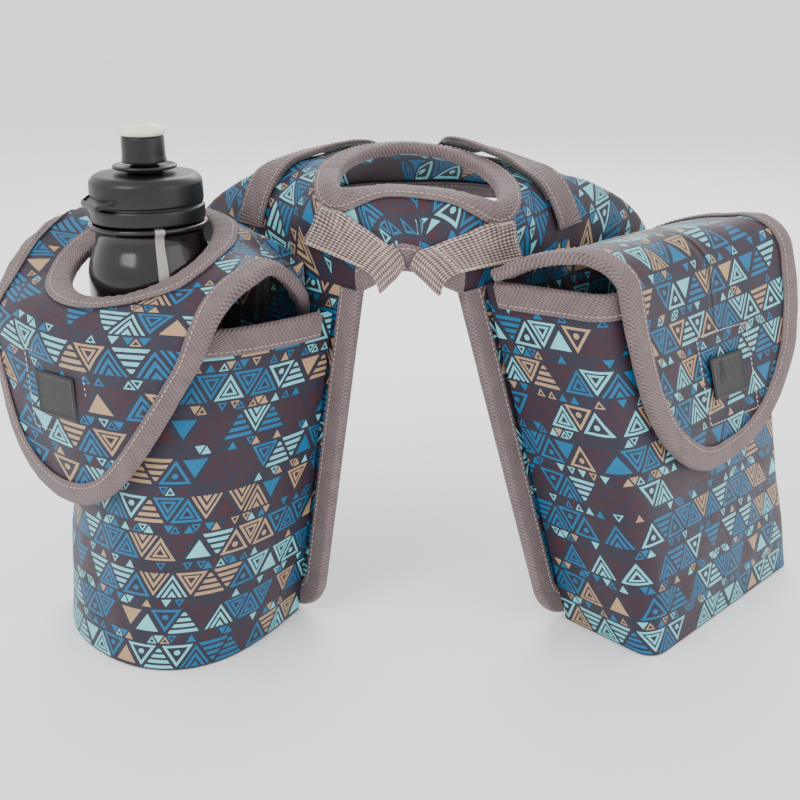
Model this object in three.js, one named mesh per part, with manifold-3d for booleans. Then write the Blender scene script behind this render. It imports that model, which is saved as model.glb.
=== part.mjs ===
// Saddle horn bag: a padded yoke with a horn hole, a round bottle pocket on the left side and
// a box-shaped lunch pocket on the right side, in millimetres with +Z up. The bag stands on its
// pocket floors at z = 0, its front (the narrow throat of the V) faces -Y.
import * as THREE from "three";
import { mergeVertices } from "three/addons/utils/BufferGeometryUtils.js";
import Module from "manifold-3d";

const wasm = await Module();
wasm.setup();

// Materials of the sewn bag
const FABRIC = 4; // foam-laminated printed fabric
const TAPE = 1.2; // binding tape
const TAPE_WIDTH = 13; // binding tape seen on each face
const GAP = 0.35; // clearance between sewn pieces
const EDGE_ROOM = 0.7; // clearance between a sheet's edge and the fold of its tape
const FLOOR_ROOM = 1.7; // room between a pocket's floor and its leaning wall
const SEAM_ROOM = 1.1; // room for a sheet that meets another one end on
const WALL_OFF = FABRIC / 2 + TAPE + SEAM_ROOM; // pocket walls end clear of the panel's tape
const WEBBING = 1.8; // heavy webbing of the tabs
const STRAP = 1.4; // light webbing of the tie-down straps
const HOOK_TAPE = 1.6; // hook tape and loop patches
const LABEL = 1.5; // rubber label patch

// Carrier: two hanging back panels joined by the yoke
const PANEL_BOTTOM = 5; // height of the back panels' lower edge above the pocket floors
const SEAM_HEIGHT = 228; // seam between the yoke and the back panels
const PANEL_CORNER = 22; // corner radius at the bottom of the back panels
const LEFT_WIDTH_LOW = 160;
const LEFT_WIDTH_HIGH = 175;
const RIGHT_WIDTH_LOW = 188;
const RIGHT_WIDTH_HIGH = 200;
const SPLAY = 45.7; // angle between each back panel and the plane of symmetry, in degrees

// Yoke
const THROAT = new THREE.Vector3(3, -62, 246); // middle of the front edge
const YOKE_REAR = new THREE.Vector3(14, 122, 256); // middle of the rear edge
const YOKE_CREST = 296; // height of the yoke behind the horn hole
const HOLE_X = 11; // middle of the horn hole
const HOLE_FRONT = -30; // its front edge
const HOLE_REAR = 58; // its rear edge
const HOLE_HALF_WIDTH = 49;

// Pockets
const LUNCH_RIM = 231; // height of the lunch pocket's mouth
const LUNCH_DEPTH = 71; // depth of the lunch pocket's outline
const LUNCH_CORNER = 13; // radius of the upright corners
const BOTTLE_RIM = 212; // height of the bottle pocket's mouth
const BOTTLE_DEPTH = 112; // depth of the bottle pocket's outline
const FLOOR = 4; // pocket floors
const POCKET_INSET = 18; // from the panel's edge to the pocket wall

// Flaps
const FLAP_PROUD = 8; // a closed flap stands this far off its pocket's wall
const SHOULDER_PROUD = 20; // and the bottle flap this far at its shoulder
const LUNCH_FLAP_TOP = 260;
const LUNCH_FLAP_TIP = 103;
const BOTTLE_FLAP_TIP = 106;
const BOTTLE_HOLE = 44; // radius of the bottle hole in the flap's fabric
const FLAP_FLARE = 33; // the bottle flap's rear edge flares this far beyond its stand
const LUNCH_FLARE = 12; // and the lunch flap's this far

// Webbing
const STRAP_WIDTH = 25;

// Bottle
const BOTTLE_X = -149;
const BOTTLE_Y = -20;
const BOTTLE_RADIUS = 37.5;
const BOTTLE_WALL = 1.5;
const BOTTLE_HEIGHT = 265; // from the pocket floor's plane to the flange's top
const BOTTLE_WAIST = 128; // height of the middle of its grip
const GRIP_DEPTH = 3.5;
const CAP_RADIUS = 33;
const CAP_HEIGHT = 27;
const NECK_RADIUS = 29;
const SPOUT_RADIUS = 12.6;
const TIP_HOLE = 5; // radius of the hole in the spout's tip

const v3 = (x, y, z) => new THREE.Vector3(x, y, z);
const mix = (a, b, t) => a + (b - a) * t;
const mix3 = (a, b, t) => a.clone().lerp(b, t);
const steps = (n) => Array.from({ length: n + 1 }, (_, i) => i / n);

// A side of the bag: u runs from the panel's front edge to its rear edge, w points outward.
function side(hand, lowFront, highFront, lowWidth, highWidth) {
  const a = THREE.MathUtils.degToRad(SPLAY);
  const u = v3(hand * Math.cos(a), Math.sin(a), 0);
  const w = v3(hand * Math.sin(a), -Math.cos(a), 0);
  const span = SEAM_HEIGHT - PANEL_BOTTOM;
  // Point at s behind the panel's front edge, n outside its middle surface, at height z
  const point = (s, n, z) => {
    const t = (z - PANEL_BOTTOM) / span;
    const front = mix3(lowFront, highFront, t);
    return front.addScaledVector(u, s).addScaledVector(w, n).setZ(z);
  };
  const width = (z) => mix(lowWidth, highWidth, (z - PANEL_BOTTOM) / span);
  return { hand, u, w, point, width };
}

const left = side(-1, v3(-54, -27, 0), v3(-24, -46, 0), LEFT_WIDTH_LOW, LEFT_WIDTH_HIGH);
const right = side(1, v3(95, -38, 0), v3(36.4, -49.2, 0), RIGHT_WIDTH_LOW, RIGHT_WIDTH_HIGH);

// Shared vertices merged, and the triangles that this closes up left out
function merged(geometry) {
  geometry.deleteAttribute("normal");
  geometry.deleteAttribute("uv");
  const g = mergeVertices(geometry, 1e-3);
  const all = Array.from(g.index.array);
  const kept = [];
  for (let i = 0; i < all.length; i += 3) {
    const [a, b, c] = all.slice(i, i + 3);
    if (a !== b && b !== c && c !== a) kept.push(a, b, c);
  }
  g.setIndex(kept);
  return g;
}

// Closed mesh building
class Skin {
  constructor() {
    this.vertices = [];
    this.faces = [];
  }
  add(p) {
    this.vertices.push(p);
    return this.vertices.length - 1;
  }
  tri(a, b, c) {
    this.faces.push([a, b, c]);
  }
  // A quad split along a-c
  quad(a, b, c, d) {
    this.tri(a, b, c);
    this.tri(a, c, d);
  }
  geometry() {
    const p = this.vertices;
    let volume = 0;
    for (const [a, b, c] of this.faces) volume += p[a].dot(p[b].clone().cross(p[c]));
    const flat = [];
    for (const [a, b, c] of this.faces) {
      const order = volume < 0 ? [a, c, b] : [a, b, c];
      for (const i of order) flat.push(p[i].x, p[i].y, p[i].z);
    }
    const g = new THREE.BufferGeometry();
    g.setAttribute("position", new THREE.Float32BufferAttribute(flat, 3));
    return merged(g);
  }
}

// Normals of a grid of points, rows by columns, wrapping round in the columns if it is closed
function gridNormals(rows, closed) {
  const n = rows[0].length;
  const at = (r, c) => {
    const row = rows[THREE.MathUtils.clamp(r, 0, rows.length - 1)];
    if (closed) return row[(c + n) % n];
    return row[THREE.MathUtils.clamp(c, 0, n - 1)];
  };
  return rows.map((row, r) =>
    row.map((_, c) => {
      const across = at(r + 1, c).clone().sub(at(r - 1, c));
      const along = at(r, c + 1).clone().sub(at(r, c - 1));
      return across.cross(along).normalize();
    }),
  );
}

// A grid whose inner row folds onto itself has one normal at each pair of points of that row
function foldedNormals(rows) {
  const normals = gridNormals(rows, false);
  const fold = normals[0];
  const pairs = fold.map((n, i) => n.clone().add(fold[fold.length - 1 - i]).normalize());
  return [pairs, ...normals.slice(1)];
}

// A sheet of a given thickness about a grid of middle points. Its inner row may fold onto itself, and
// then has no edge.
function sheet(rows, normals, thickness, closed) {
  const skin = new Skin();
  const h = thickness / 2;
  const shift = (sign) =>
    rows.map((row, r) =>
      row.map((p, c) => skin.add(p.clone().addScaledVector(normals[r][c], sign * h))),
    );
  const top = shift(1);
  const low = shift(-1);
  const n = rows[0].length;
  const last = rows.length - 1;
  const columns = closed ? n : n - 1;
  const folded = !closed && rows[0][0].distanceTo(rows[0][n - 1]) < GAP;
  for (let c = 0; c < columns; c++) {
    const d = (c + 1) % n;
    for (let r = 0; r < last; r++) {
      skin.quad(top[r][c], top[r + 1][c], top[r + 1][d], top[r][d]);
      skin.quad(low[r][c], low[r][d], low[r + 1][d], low[r + 1][c]);
    }
    skin.quad(top[last][c], low[last][c], low[last][d], top[last][d]);
    if (!folded) skin.quad(top[0][d], low[0][d], low[0][c], top[0][c]);
  }
  if (!closed) {
    for (let r = 0; r < last; r++) {
      skin.quad(top[r][0], low[r][0], low[r + 1][0], top[r + 1][0]);
      skin.quad(top[r + 1][n - 1], low[r + 1][n - 1], low[r][n - 1], top[r][n - 1]);
    }
  }
  return skin;
}

// Binding tape folded round the edge row of a sheet, as a U that is open towards the inner row
function binding(edge, inner, edgeNormals, innerNormals, closed, room = EDGE_ROOM) {
  const skin = new Skin();
  const slot = FABRIC / 2 + Math.max(GAP, room / 2);
  const face = slot + TAPE;
  const stations = edge.map((e, i) => {
    const p = inner[i];
    const out = e.clone().sub(p).normalize();
    const atEdge = (o, n) => skin.add(
      e.clone().addScaledVector(out, o).addScaledVector(edgeNormals[i], n),
    );
    const atInner = (n) => skin.add(p.clone().addScaledVector(innerNormals[i], n));
    return [
      atInner(face),
      atEdge(room + TAPE, face),
      atEdge(room + TAPE, -face),
      atInner(-face),
      atInner(-slot),
      atEdge(room, -slot),
      atEdge(room, slot),
      atInner(slot),
    ];
  });
  const n = stations.length;
  const spans = closed ? n : n - 1;
  for (let j = 0; j < spans; j++) {
    const a = stations[j];
    const b = stations[(j + 1) % n];
    for (let i = 0; i < 8; i++) {
      const k = (i + 1) % 8;
      if (i === 6 || i === 0) skin.quad(b[i], a[i], a[k], b[k]);
      else skin.quad(a[i], a[k], b[k], b[i]);
    }
  }
  if (!closed) {
    const cap = (s, flip) => {
      for (const [a, b, c, d] of [[0, 1, 6, 7], [1, 2, 5, 6], [2, 3, 4, 5]]) {
        if (flip) skin.quad(s[d], s[c], s[b], s[a]);
        else skin.quad(s[a], s[b], s[c], s[d]);
      }
    };
    cap(stations[0], true);
    cap(stations[n - 1], false);
  }
  return skin;
}

// Tape round the inner edge of a closed grid. Its columns are taken in reverse, so that its facets
// lie over those of the sheet.
function holeBinding(rows, normals, room) {
  const turn = (row) => row.slice().reverse();
  return binding(turn(rows[0]), turn(rows[1]), turn(normals[0]), turn(normals[1]), true, room);
}

const group = new THREE.Group();
group.name = "saddle_horn_bag";

const finish = {
  print: { color: 0x3f4f66, roughness: 0.8, metalness: 0 },
  binding: { color: 0x7d6c6c, roughness: 0.85, metalness: 0 },
  webbing: { color: 0x8a7672, roughness: 0.85, metalness: 0 },
  hook: { color: 0x2a2622, roughness: 0.95, metalness: 0 },
  mesh: { color: 0x1c1c1e, roughness: 0.9, metalness: 0 },
  label: { color: 0x141416, roughness: 0.55, metalness: 0 },
  bottle: { color: 0x2d2623, roughness: 0.22, metalness: 0 },
  cap: { color: 0x17181a, roughness: 0.35, metalness: 0 },
  seal: { color: 0xd8d4c8, roughness: 0.6, metalness: 0 },
  tip: { color: 0xf0e6d2, roughness: 0.45, metalness: 0 },
};

function place(name, geometry, look) {
  const mesh = new THREE.Mesh(geometry, new THREE.MeshStandardMaterial(finish[look]));
  mesh.name = name;
  group.add(mesh);
  return mesh;
}

// Back panels
// Nested U outlines from the front edge round the bottom to the rear edge: the panel's own edge,
// the limit of its binding and the middle line onto which the panel folds flat.
function panelRows(s) {
  const zt = SEAM_HEIGHT - GAP;
  const outline = (inset) => {
    const zb = PANEL_BOTTOM + inset;
    const r = PANEL_CORNER - inset * 0.6;
    const half = [];
    for (const t of steps(7)) half.push([inset, mix(zt, zb + r, t)]);
    for (const t of steps(3).slice(1)) {
      const a = (t * Math.PI) / 2;
      half.push([inset + r * (1 - Math.cos(a)), zb + r * (1 - Math.sin(a))]);
    }
    const start = half.at(-1)[0];
    for (const t of steps(3).slice(1)) half.push([mix(start, s.width(zb) / 2, t), zb]);
    const front = half.map(([e, z]) => [e, z]);
    const rear = half.slice(0, -1).map(([e, z]) => [s.width(z) - e, z]).reverse();
    return front.concat(rear);
  };
  const edge = outline(0);
  const limit = outline(TAPE_WIDTH);
  const foot = PANEL_BOTTOM + 60;
  const spine = limit.map(([, z]) => [s.width(Math.max(z, foot)) / 2, Math.max(z, foot)]);
  return [spine, limit, edge].map((row) => row.map(([e, z]) => s.point(e, 0, z)));
}

function addPanel(name, s) {
  const rows = panelRows(s);
  const flat = s.point(0, 0, PANEL_BOTTOM).sub(s.point(0, 0, SEAM_HEIGHT));
  const normal = s.u.clone().cross(flat).normalize().multiplyScalar(-s.hand);
  const normals = rows.map((row) => row.map(() => normal));
  place(name, sheet(rows, normals, FABRIC, false).geometry(), "print");
  place(
    name + "_binding",
    binding(rows[2], rows[1], normals[2], normals[1], false).geometry(),
    "binding",
  );
}

addPanel("left_back_panel", left);
addPanel("right_back_panel", right);

// Yoke
// Height of the yoke round the horn hole
function yokeHeight(x, y) {
  const dx = x - HOLE_X;
  const dy = y - HOLE_REAR;
  return YOKE_CREST - 0.0035 * dx * dx - 0.0016 * dy * dy - 0.08 * dx;
}

// The yoke's outer edge: the throat, the right seam, the rear edge and the left seam
const seam = (s) => {
  const width = s.width(SEAM_HEIGHT);
  return (t) => s.point(width * t, 0, SEAM_HEIGHT + SEAM_ROOM);
};
const seamLeft = seam(left);
const seamRight = seam(right);

const throatCurve = new THREE.CatmullRomCurve3([
  seamLeft(0),
  v3(-12, -57, 238),
  THROAT,
  v3(21, -59, 238),
  seamRight(0),
]);
const rearCurve = new THREE.CatmullRomCurve3([
  seamRight(1),
  v3(118, 115, 251),
  YOKE_REAR,
  v3(-92, 103, 249),
  seamLeft(1),
]);

const THROAT_STEPS = 10;
const SEAM_STEPS = 9;
const REAR_STEPS = 12;

function yokeEdge() {
  const points = [];
  for (const t of steps(THROAT_STEPS).slice(0, -1)) points.push(throatCurve.getPoint(t));
  for (const t of steps(SEAM_STEPS).slice(0, -1)) points.push(seamRight(t));
  for (const t of steps(REAR_STEPS).slice(0, -1)) points.push(rearCurve.getPoint(t));
  for (const t of steps(SEAM_STEPS).slice(0, -1)) points.push(seamLeft(1 - t));
  return points;
}

// The horn hole: a straight front edge and a round rear, as a superellipse in two halves
function holePoint(angle) {
  const c = Math.cos(angle);
  const s = Math.sin(angle);
  const power = s < 0 ? 0.42 : 1.1;
  const middle = mix(HOLE_FRONT, HOLE_REAR, 0.36);
  const x = HOLE_X + HOLE_HALF_WIDTH * Math.sign(c) * Math.abs(c) ** power;
  const reach = s < 0 ? middle - HOLE_FRONT : HOLE_REAR - middle;
  const y = middle + reach * Math.sign(s) * Math.abs(s) ** power;
  return v3(x, y, yokeHeight(x, y));
}

// Rows from the hole to the edge: flat at the hole, then turning down to the seams
function yokeRows() {
  const edge = yokeEdge();
  const middle = mix(HOLE_FRONT, HOLE_REAR, 0.42);
  const hole = edge.map((p) => holePoint(Math.atan2(p.y - middle, p.x - HOLE_X)));
  const front = new THREE.Vector2(THROAT.x, THROAT.y);
  const turn = edge.map((p, i) => {
    const isSeam = i >= THROAT_STEPS && i < THROAT_STEPS + SEAM_STEPS;
    const isOther = i > THROAT_STEPS + SEAM_STEPS + REAR_STEPS;
    const drop = (hole[i].z - p.z) / Math.hypot(hole[i].x - p.x, hole[i].y - p.y);
    const near = front.distanceTo(new THREE.Vector2(p.x, p.y)) < 30 ? 0.5 : 1;
    return (isSeam || isOther ? 1 : THREE.MathUtils.clamp(drop, 0.35, 1)) * near;
  });
  const at = (i, r) => {
    const a = (r * Math.PI) / 2;
    const k = turn[i];
    const out = mix(r, Math.sin(a), k);
    const fall = mix(r * r, 1 - Math.cos(a), k);
    const h = hole[i];
    const e = edge[i];
    return v3(mix(h.x, e.x, out), mix(h.y, e.y, out), mix(h.z, e.z, fall));
  };
  // Each column is cut at the tape's width from both of its ends, by length along the column
  const columns = edge.map((_, i) => {
    const line = steps(40).map((r) => at(i, r));
    const length = [0];
    for (let j = 1; j < line.length; j++) {
      length.push(length[j - 1] + line[j].distanceTo(line[j - 1]));
    }
    const total = length.at(-1);
    const find = (d) => {
      let j = 1;
      while (j < length.length - 1 && length[j] < d) j++;
      const t = (d - length[j - 1]) / (length[j] - length[j - 1]);
      return mix3(line[j - 1], line[j], t);
    };
    const stops = [0, TAPE_WIDTH];
    const inner = total - 2 * TAPE_WIDTH;
    for (const t of [0.25, 0.5, 0.75]) stops.push(TAPE_WIDTH + inner * t);
    stops.push(total - TAPE_WIDTH, total);
    return stops.map(find);
  });
  return columns[0].map((_, r) => columns.map((column) => column[r]));
}

const yoke = yokeRows();
const yokeNormals = gridNormals(yoke, true);
if (yokeNormals[1][0].z < 0) yokeNormals.forEach((row) => row.forEach((n) => n.negate()));
place("yoke_panel", sheet(yoke, yokeNormals, FABRIC, true).geometry(), "print");
place(
  "horn_hole_binding",
  holeBinding(yoke, yokeNormals, 4 * EDGE_ROOM).geometry(),
  "binding",
);

// A stretch of the yoke's outer binding, from one column to another
function yokeBinding(name, from, to) {
  const n = yoke[0].length;
  const pick = (rows, r) => {
    const out = [];
    for (let i = from; i <= to; i++) out.push(rows[r][(i + n) % n]);
    return out;
  };
  const last = yoke.length - 1;
  const skin = binding(
    pick(yoke, last),
    pick(yoke, last - 1),
    pick(yokeNormals, last),
    pick(yokeNormals, last - 1),
    false,
  );
  place(name, skin.geometry(), "binding");
}

yokeBinding("throat_binding", 1, THROAT_STEPS - 1);
const rearStart = THROAT_STEPS + SEAM_STEPS;
yokeBinding("yoke_rear_binding", rearStart + 1, rearStart + REAR_STEPS - 1);

// Pockets
// A pocket's outline in plan runs from the panel's front edge round the outside to the rear edge.
// Bottle pocket: a D that bulges forward at the floor
const BOTTLE_STEPS = 22;
function bottleOutline(z, proud) {
  const t = THREE.MathUtils.clamp(z / BOTTLE_RIM, 0, 1.15);
  const width = left.width(z);
  const half = width / 2 - POCKET_INSET + proud;
  const depth = BOTTLE_DEPTH + mix(8, -2, t) + proud;
  const bulge = mix(20, 3, t);
  const lead = mix(9, -4, t);
  const power = 2 / mix(2.2, 2.5, t);
  return steps(BOTTLE_STEPS).map((f) => {
    const a = f * Math.PI;
    const c = Math.cos(a);
    const round = half * Math.sign(c) * Math.abs(c) ** power;
    const e = width / 2 - round - bulge * Math.sin(2 * a) - lead * Math.sin(a);
    return [e, depth * Math.max(Math.sin(a), 0) ** power];
  });
}

// Lunch pocket: a box with rounded upright corners, set back towards the rear at the mouth
const LUNCH_ARC = 4;
function lunchOutline(z, proud) {
  const t = z / LUNCH_RIM;
  const foot = [POCKET_INSET - proud, 0];
  const heel = [mix(RIGHT_WIDTH_LOW, RIGHT_WIDTH_HIGH, t) - POCKET_INSET + proud, 0];
  const n = mix(LUNCH_DEPTH - 4, LUNCH_DEPTH, t) + proud;
  const fore = [mix(15, 35, t) - proud, n];
  const aft = [mix(195, 215, t) + proud, n];
  const corner = (from, at, to) => {
    const a = new THREE.Vector2(...from).sub(new THREE.Vector2(...at)).normalize();
    const b = new THREE.Vector2(...to).sub(new THREE.Vector2(...at)).normalize();
    const reach = LUNCH_CORNER + proud;
    return steps(LUNCH_ARC).map((f) => {
      const p = (1 - f) ** 2 * reach;
      const q = f ** 2 * reach;
      return [at[0] + a.x * p + b.x * q, at[1] + a.y * p + b.y * q];
    });
  };
  const line = (from, to, count) =>
    steps(count).slice(0, -1).map((f) => [mix(from[0], to[0], f), mix(from[1], to[1], f)]);
  const first = corner(foot, fore, aft);
  const second = corner(fore, aft, heel);
  return [
    ...line(foot, first[0], 3),
    ...first.slice(0, -1),
    ...line(first.at(-1), second[0], 6),
    ...second.slice(0, -1),
    ...line(second.at(-1), heel, 3),
    heel,
  ];
}

// Pocket wall rows from the floor to the rim, ends set off the back panel by its half thickness
function wallRows(s, outline, heights, proud = 0) {
  return heights.map((z) => outline(z, proud).map(([e, n]) => s.point(e, n + WALL_OFF, z)));
}

// The points of a line at which it bends, with its ends
function bends(line) {
  return line.filter((p, i) => {
    if (i === 0 || i === line.length - 1) return true;
    const a = p.clone().sub(line[i - 1]).normalize();
    const b = line[i + 1].clone().sub(p).normalize();
    return a.dot(b) < 0.9999;
  });
}

function addPocket(prefix, s, outline, rim) {
  const fine = [0, 7, 0.3 * rim, 0.55 * rim, 0.78 * rim, rim - TAPE_WIDTH, rim];
  const rows = wallRows(s, outline, fine);
  const normals = gridNormals(rows, false);
  normals[0].forEach((n) => n.setZ(0).normalize());
  place(prefix + "_wall", sheet(rows, normals, FABRIC, false).geometry(), "print");
  const n = rows.length;
  // The tape stops short of the panel's face
  const trim = (row) => {
    const cut = row.slice();
    cut[0] = mix3(row[0], row[1], 0.12);
    cut[cut.length - 1] = mix3(row.at(-1), row.at(-2), 0.12);
    return cut;
  };
  const tape = binding(trim(rows[n - 1]), trim(rows[n - 2]), normals[n - 1], normals[n - 2], false);
  place(prefix + "_top_binding", tape.geometry(), "binding");
  // Floor: the outline inside the wall
  const inside = new THREE.Shape(
    bends(wallRows(s, outline, [FLOOR / 2], -(FABRIC / 2 + FLOOR_ROOM))[0]).map(
      (p) => new THREE.Vector2(p.x, p.y),
    ),
  );
  const floor = new THREE.ExtrudeGeometry(inside, { depth: FLOOR, bevelEnabled: false });
  place(prefix + "_floor", merged(floor), "print");
}

addPocket("bottle_pocket", left, bottleOutline, BOTTLE_RIM);
addPocket("lunch_pocket", right, lunchOutline, LUNCH_RIM);

// A polyline cut at a length and resampled with the tape's width kept at the chosen ends
function resample(line, limit, count, headTape) {
  const length = [0];
  for (let j = 1; j < line.length; j++) {
    length.push(length[j - 1] + line[j].distanceTo(line[j - 1]));
  }
  const total = Math.min(limit, length.at(-1));
  const find = (d) => {
    let j = 1;
    while (j < length.length - 1 && length[j] < d) j++;
    const t = (d - length[j - 1]) / (length[j] - length[j - 1]);
    return mix3(line[j - 1], line[j], t);
  };
  const head = headTape ? TAPE_WIDTH : 0;
  const stops = headTape ? [0] : [];
  for (const t of steps(count)) stops.push(head + (total - head - TAPE_WIDTH) * t);
  stops.push(total);
  return stops.map(find);
}

// Lunch flap: rises from the seam, turns over a round ridge and hangs in front of the main face.
// Its columns run from a middle spine out to a U-shaped edge. Its rear half flares off the wall.
const LUNCH_FLAP_STEPS = 30;
const LUNCH_FLAP_INNER = [0.25, 0.5, 0.75];
const LUNCH_FLAP_ROOT = 14; // from the panel's middle surface to the flap's sewn edge
const lunchFlare = (e) => LUNCH_FLARE * THREE.MathUtils.clamp((e - 90) / 120, 0, 1) ** 1.5;
function lunchFlapPoint(e, d) {
  // e runs along the panel, d runs down the flap from its sewn edge
  const ridge = LUNCH_DEPTH + WALL_OFF + FLAP_PROUD + lunchFlare(e);
  const bend = 18;
  const rise = v3(ridge - LUNCH_FLAP_ROOT - bend, 0, LUNCH_FLAP_TOP - 6 - SEAM_HEIGHT - 10);
  const flat = rise.length();
  const arc = bend * 1.65;
  const start = [LUNCH_FLAP_ROOT, SEAM_HEIGHT + 10];
  const shoulder = [ridge - bend, LUNCH_FLAP_TOP - 6];
  if (d <= flat) {
    const t = d / flat;
    return [mix(start[0], shoulder[0], t), mix(start[1], shoulder[1], t) + 3 * Math.sin(t * Math.PI)];
  }
  if (d <= flat + arc) {
    const a = ((d - flat) / arc) * Math.PI * 0.5;
    return [shoulder[0] + bend * Math.sin(a), shoulder[1] - bend * (1 - Math.cos(a))];
  }
  return [ridge, shoulder[1] - bend - (d - flat - arc)];
}
const LUNCH_FLAP_LENGTH = 47 + 29.7 + LUNCH_FLAP_TOP - 24 - LUNCH_FLAP_TIP;
const LUNCH_FLAP_RIDGE = 80; // from the sewn edge to the ridge, along the cloth
const LUNCH_FLAP_HALF = 91; // half the flap's width at its sewn edge
// Middle of the flap: it leans to the rear up to the ridge and comes back to the front at the tip
function lunchMiddle(d) {
  if (d < LUNCH_FLAP_RIDGE) return mix(106, 127, d / LUNCH_FLAP_RIDGE);
  const t = (d - LUNCH_FLAP_RIDGE) / (LUNCH_FLAP_LENGTH - LUNCH_FLAP_RIDGE);
  return mix(127, 106, t * t);
}
function lunchFlapRows() {
  const fromRoot = (t, inset) => {
    // t from 0 at the front root to 1 at the rear root
    const a = t * Math.PI;
    const half = (d) => LUNCH_FLAP_HALF - inset - 6 * Math.min(1, d / LUNCH_FLAP_RIDGE);
    const reach = LUNCH_FLAP_LENGTH - inset;
    const straight = 100;
    const sweep = (a - Math.PI * 0.22) / (Math.PI * 0.56);
    if (sweep <= 0) {
      const d = straight * (a / (Math.PI * 0.22));
      return [lunchMiddle(d) - half(d), d];
    }
    if (sweep >= 1) {
      const d = straight * ((Math.PI - a) / (Math.PI * 0.22));
      return [lunchMiddle(d) + half(d), d];
    }
    const b = sweep * Math.PI;
    const x = Math.cos(b);
    const d = straight + (reach - straight) * Math.sin(b) ** 0.9;
    const round = x > 0 ? 1.1 : 0.68; // fuller on the rear side than on the front
    return [lunchMiddle(d) - half(d) * Math.sign(x) * Math.abs(x) ** round, d];
  };
  const edge = steps(LUNCH_FLAP_STEPS).map((t) => fromRoot(t, 0));
  const limit = steps(LUNCH_FLAP_STEPS).map((t) => fromRoot(t, TAPE_WIDTH));
  const half = LUNCH_FLAP_STEPS / 2;
  const spine = steps(LUNCH_FLAP_STEPS).map((_, i) => {
    const k = Math.min(i, LUNCH_FLAP_STEPS - i) / half;
    const d = k * (LUNCH_FLAP_LENGTH - 60);
    return [lunchMiddle(d), d];
  });
  const between = (k) =>
    limit.map(([e, d], i) => [mix(spine[i][0], e, k), mix(spine[i][1], d, k)]);
  const inner = LUNCH_FLAP_INNER.map(between);
  return [spine, ...inner, limit, edge].map((row) =>
    row.map(([e, d]) => {
      const [n, z] = lunchFlapPoint(e, d);
      return right.point(e, n, z);
    }),
  );
}

const lunchFlap = lunchFlapRows();
const lunchFlapNormals = foldedNormals(lunchFlap);
place("lunch_flap", sheet(lunchFlap, lunchFlapNormals, FABRIC, false).geometry(), "print");
place(
  "lunch_flap_binding",
  binding(
    lunchFlap.at(-1),
    lunchFlap.at(-2),
    lunchFlapNormals.at(-1),
    lunchFlapNormals.at(-2),
    false,
  ).geometry(),
  "binding",
);

// Bottle flap: a dome from the seam over the bottle, with a round hole for it, that turns down over
// the pocket wall to a rounded tip. Its columns run from the hole out to the edge.
const flapHole = v3(BOTTLE_X - 5, BOTTLE_Y - 1, 0);
const BOTTLE_FLAP_STEPS = 26; // columns on the wall side
const ROOT_STEPS = 8; // columns on the seam side
const BOTTLE_FLAP_ROOT = SEAM_HEIGHT + 10;
const BOTTLE_ROOT_OFF = FABRIC / 2 + 2.2; // from the panel's middle surface to the flap's sewn edge

const domeHeight = (x, y) => 244 + 0.24 * (x - BOTTLE_X) + 0.33 * (y - BOTTLE_Y);
const smooth = (t) => THREE.MathUtils.smoothstep(t, 0, 1);

// Lower edge of the flap round the wall, from the front of the pocket to its rear: a long slant
// down to the tip, which is at TIP_AT, and a steep rise behind it
const TIP_AT = 0.455;
function flapEdgeHeight(f) {
  const rise = f < TIP_AT ? ((TIP_AT - f) / 0.29) ** 1.3 : ((f - TIP_AT) / 0.25) ** 3.4;
  return BOTTLE_FLAP_TIP + 140 * Math.min(1, rise);
}

// The closed flap stands further off the wall at its shoulder than at its tip
const flapStand = (z) =>
  mix(FLAP_PROUD, SHOULDER_PROUD, (z - BOTTLE_FLAP_TIP) / (BOTTLE_RIM - BOTTLE_FLAP_TIP));

// The flap round the wall at height z, with its rear edge flared to the left
function flapRing(z) {
  return bottleOutline(z, flapStand(z)).map(([e, n], j) => {
    const flare = FLAP_FLARE * Math.exp(-(((j / BOTTLE_STEPS - 0.72) / 0.2) ** 2));
    return left.point(e, n + WALL_OFF, z).add(v3(-flare, -0.1 * flare, 0));
  });
}

// A point on a ring of the bottle pocket's wall or of its closed flap, f from the front to the rear
function ringAt(ring, f) {
  const k = f * BOTTLE_STEPS;
  const j = Math.min(Math.floor(k), BOTTLE_STEPS - 1);
  return mix3(ring[j], ring[j + 1], k - j);
}

// The hole's edge in the direction of a point
function holeAt(p) {
  const a = Math.atan2(p.y - flapHole.y, p.x - flapHole.x);
  const x = flapHole.x + BOTTLE_HOLE * Math.cos(a);
  const y = flapHole.y + BOTTLE_HOLE * Math.sin(a);
  return v3(x, y, domeHeight(x, y));
}

// A quadratic curve from the hole's edge over a turning point
const bow = (from, turn, to) =>
  steps(16).map((t) => mix3(mix3(from, turn, t), mix3(turn, to, t), t));

// The flap's cloth at f: from the hole over the shoulder and down the wall
const ringLow = flapRing(BOTTLE_FLAP_TIP);
const ringHigh = flapRing(BOTTLE_RIM);
const archAt = (f) => smooth((0.22 - f) / 0.1);
function flapLine(f) {
  const top = ringAt(ringHigh, f);
  const foot = ringAt(ringLow, f);
  const rear = smooth((f - 0.66) / 0.2);
  const slope = Math.max(240 + 0.15 * (top.x - BOTTLE_X) + 0.35 * (top.y - BOTTLE_Y), 227);
  const crown = slope + 13 * archAt(f) + 12 * rear;
  const turn = v3(top.x, top.y, crown);
  const shoulder = v3(top.x, top.y, crown - 26 * (1 - 0.85 * Math.max(archAt(f), rear)));
  const line = bow(holeAt(top), turn, shoulder);
  for (const t of steps(10).slice(1)) {
    const z = mix(shoulder.z, BOTTLE_FLAP_TIP - 6, t);
    line.push(mix3(top, foot, (BOTTLE_RIM - z) / (BOTTLE_RIM - BOTTLE_FLAP_TIP)).setZ(z));
  }
  return line;
}

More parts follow.
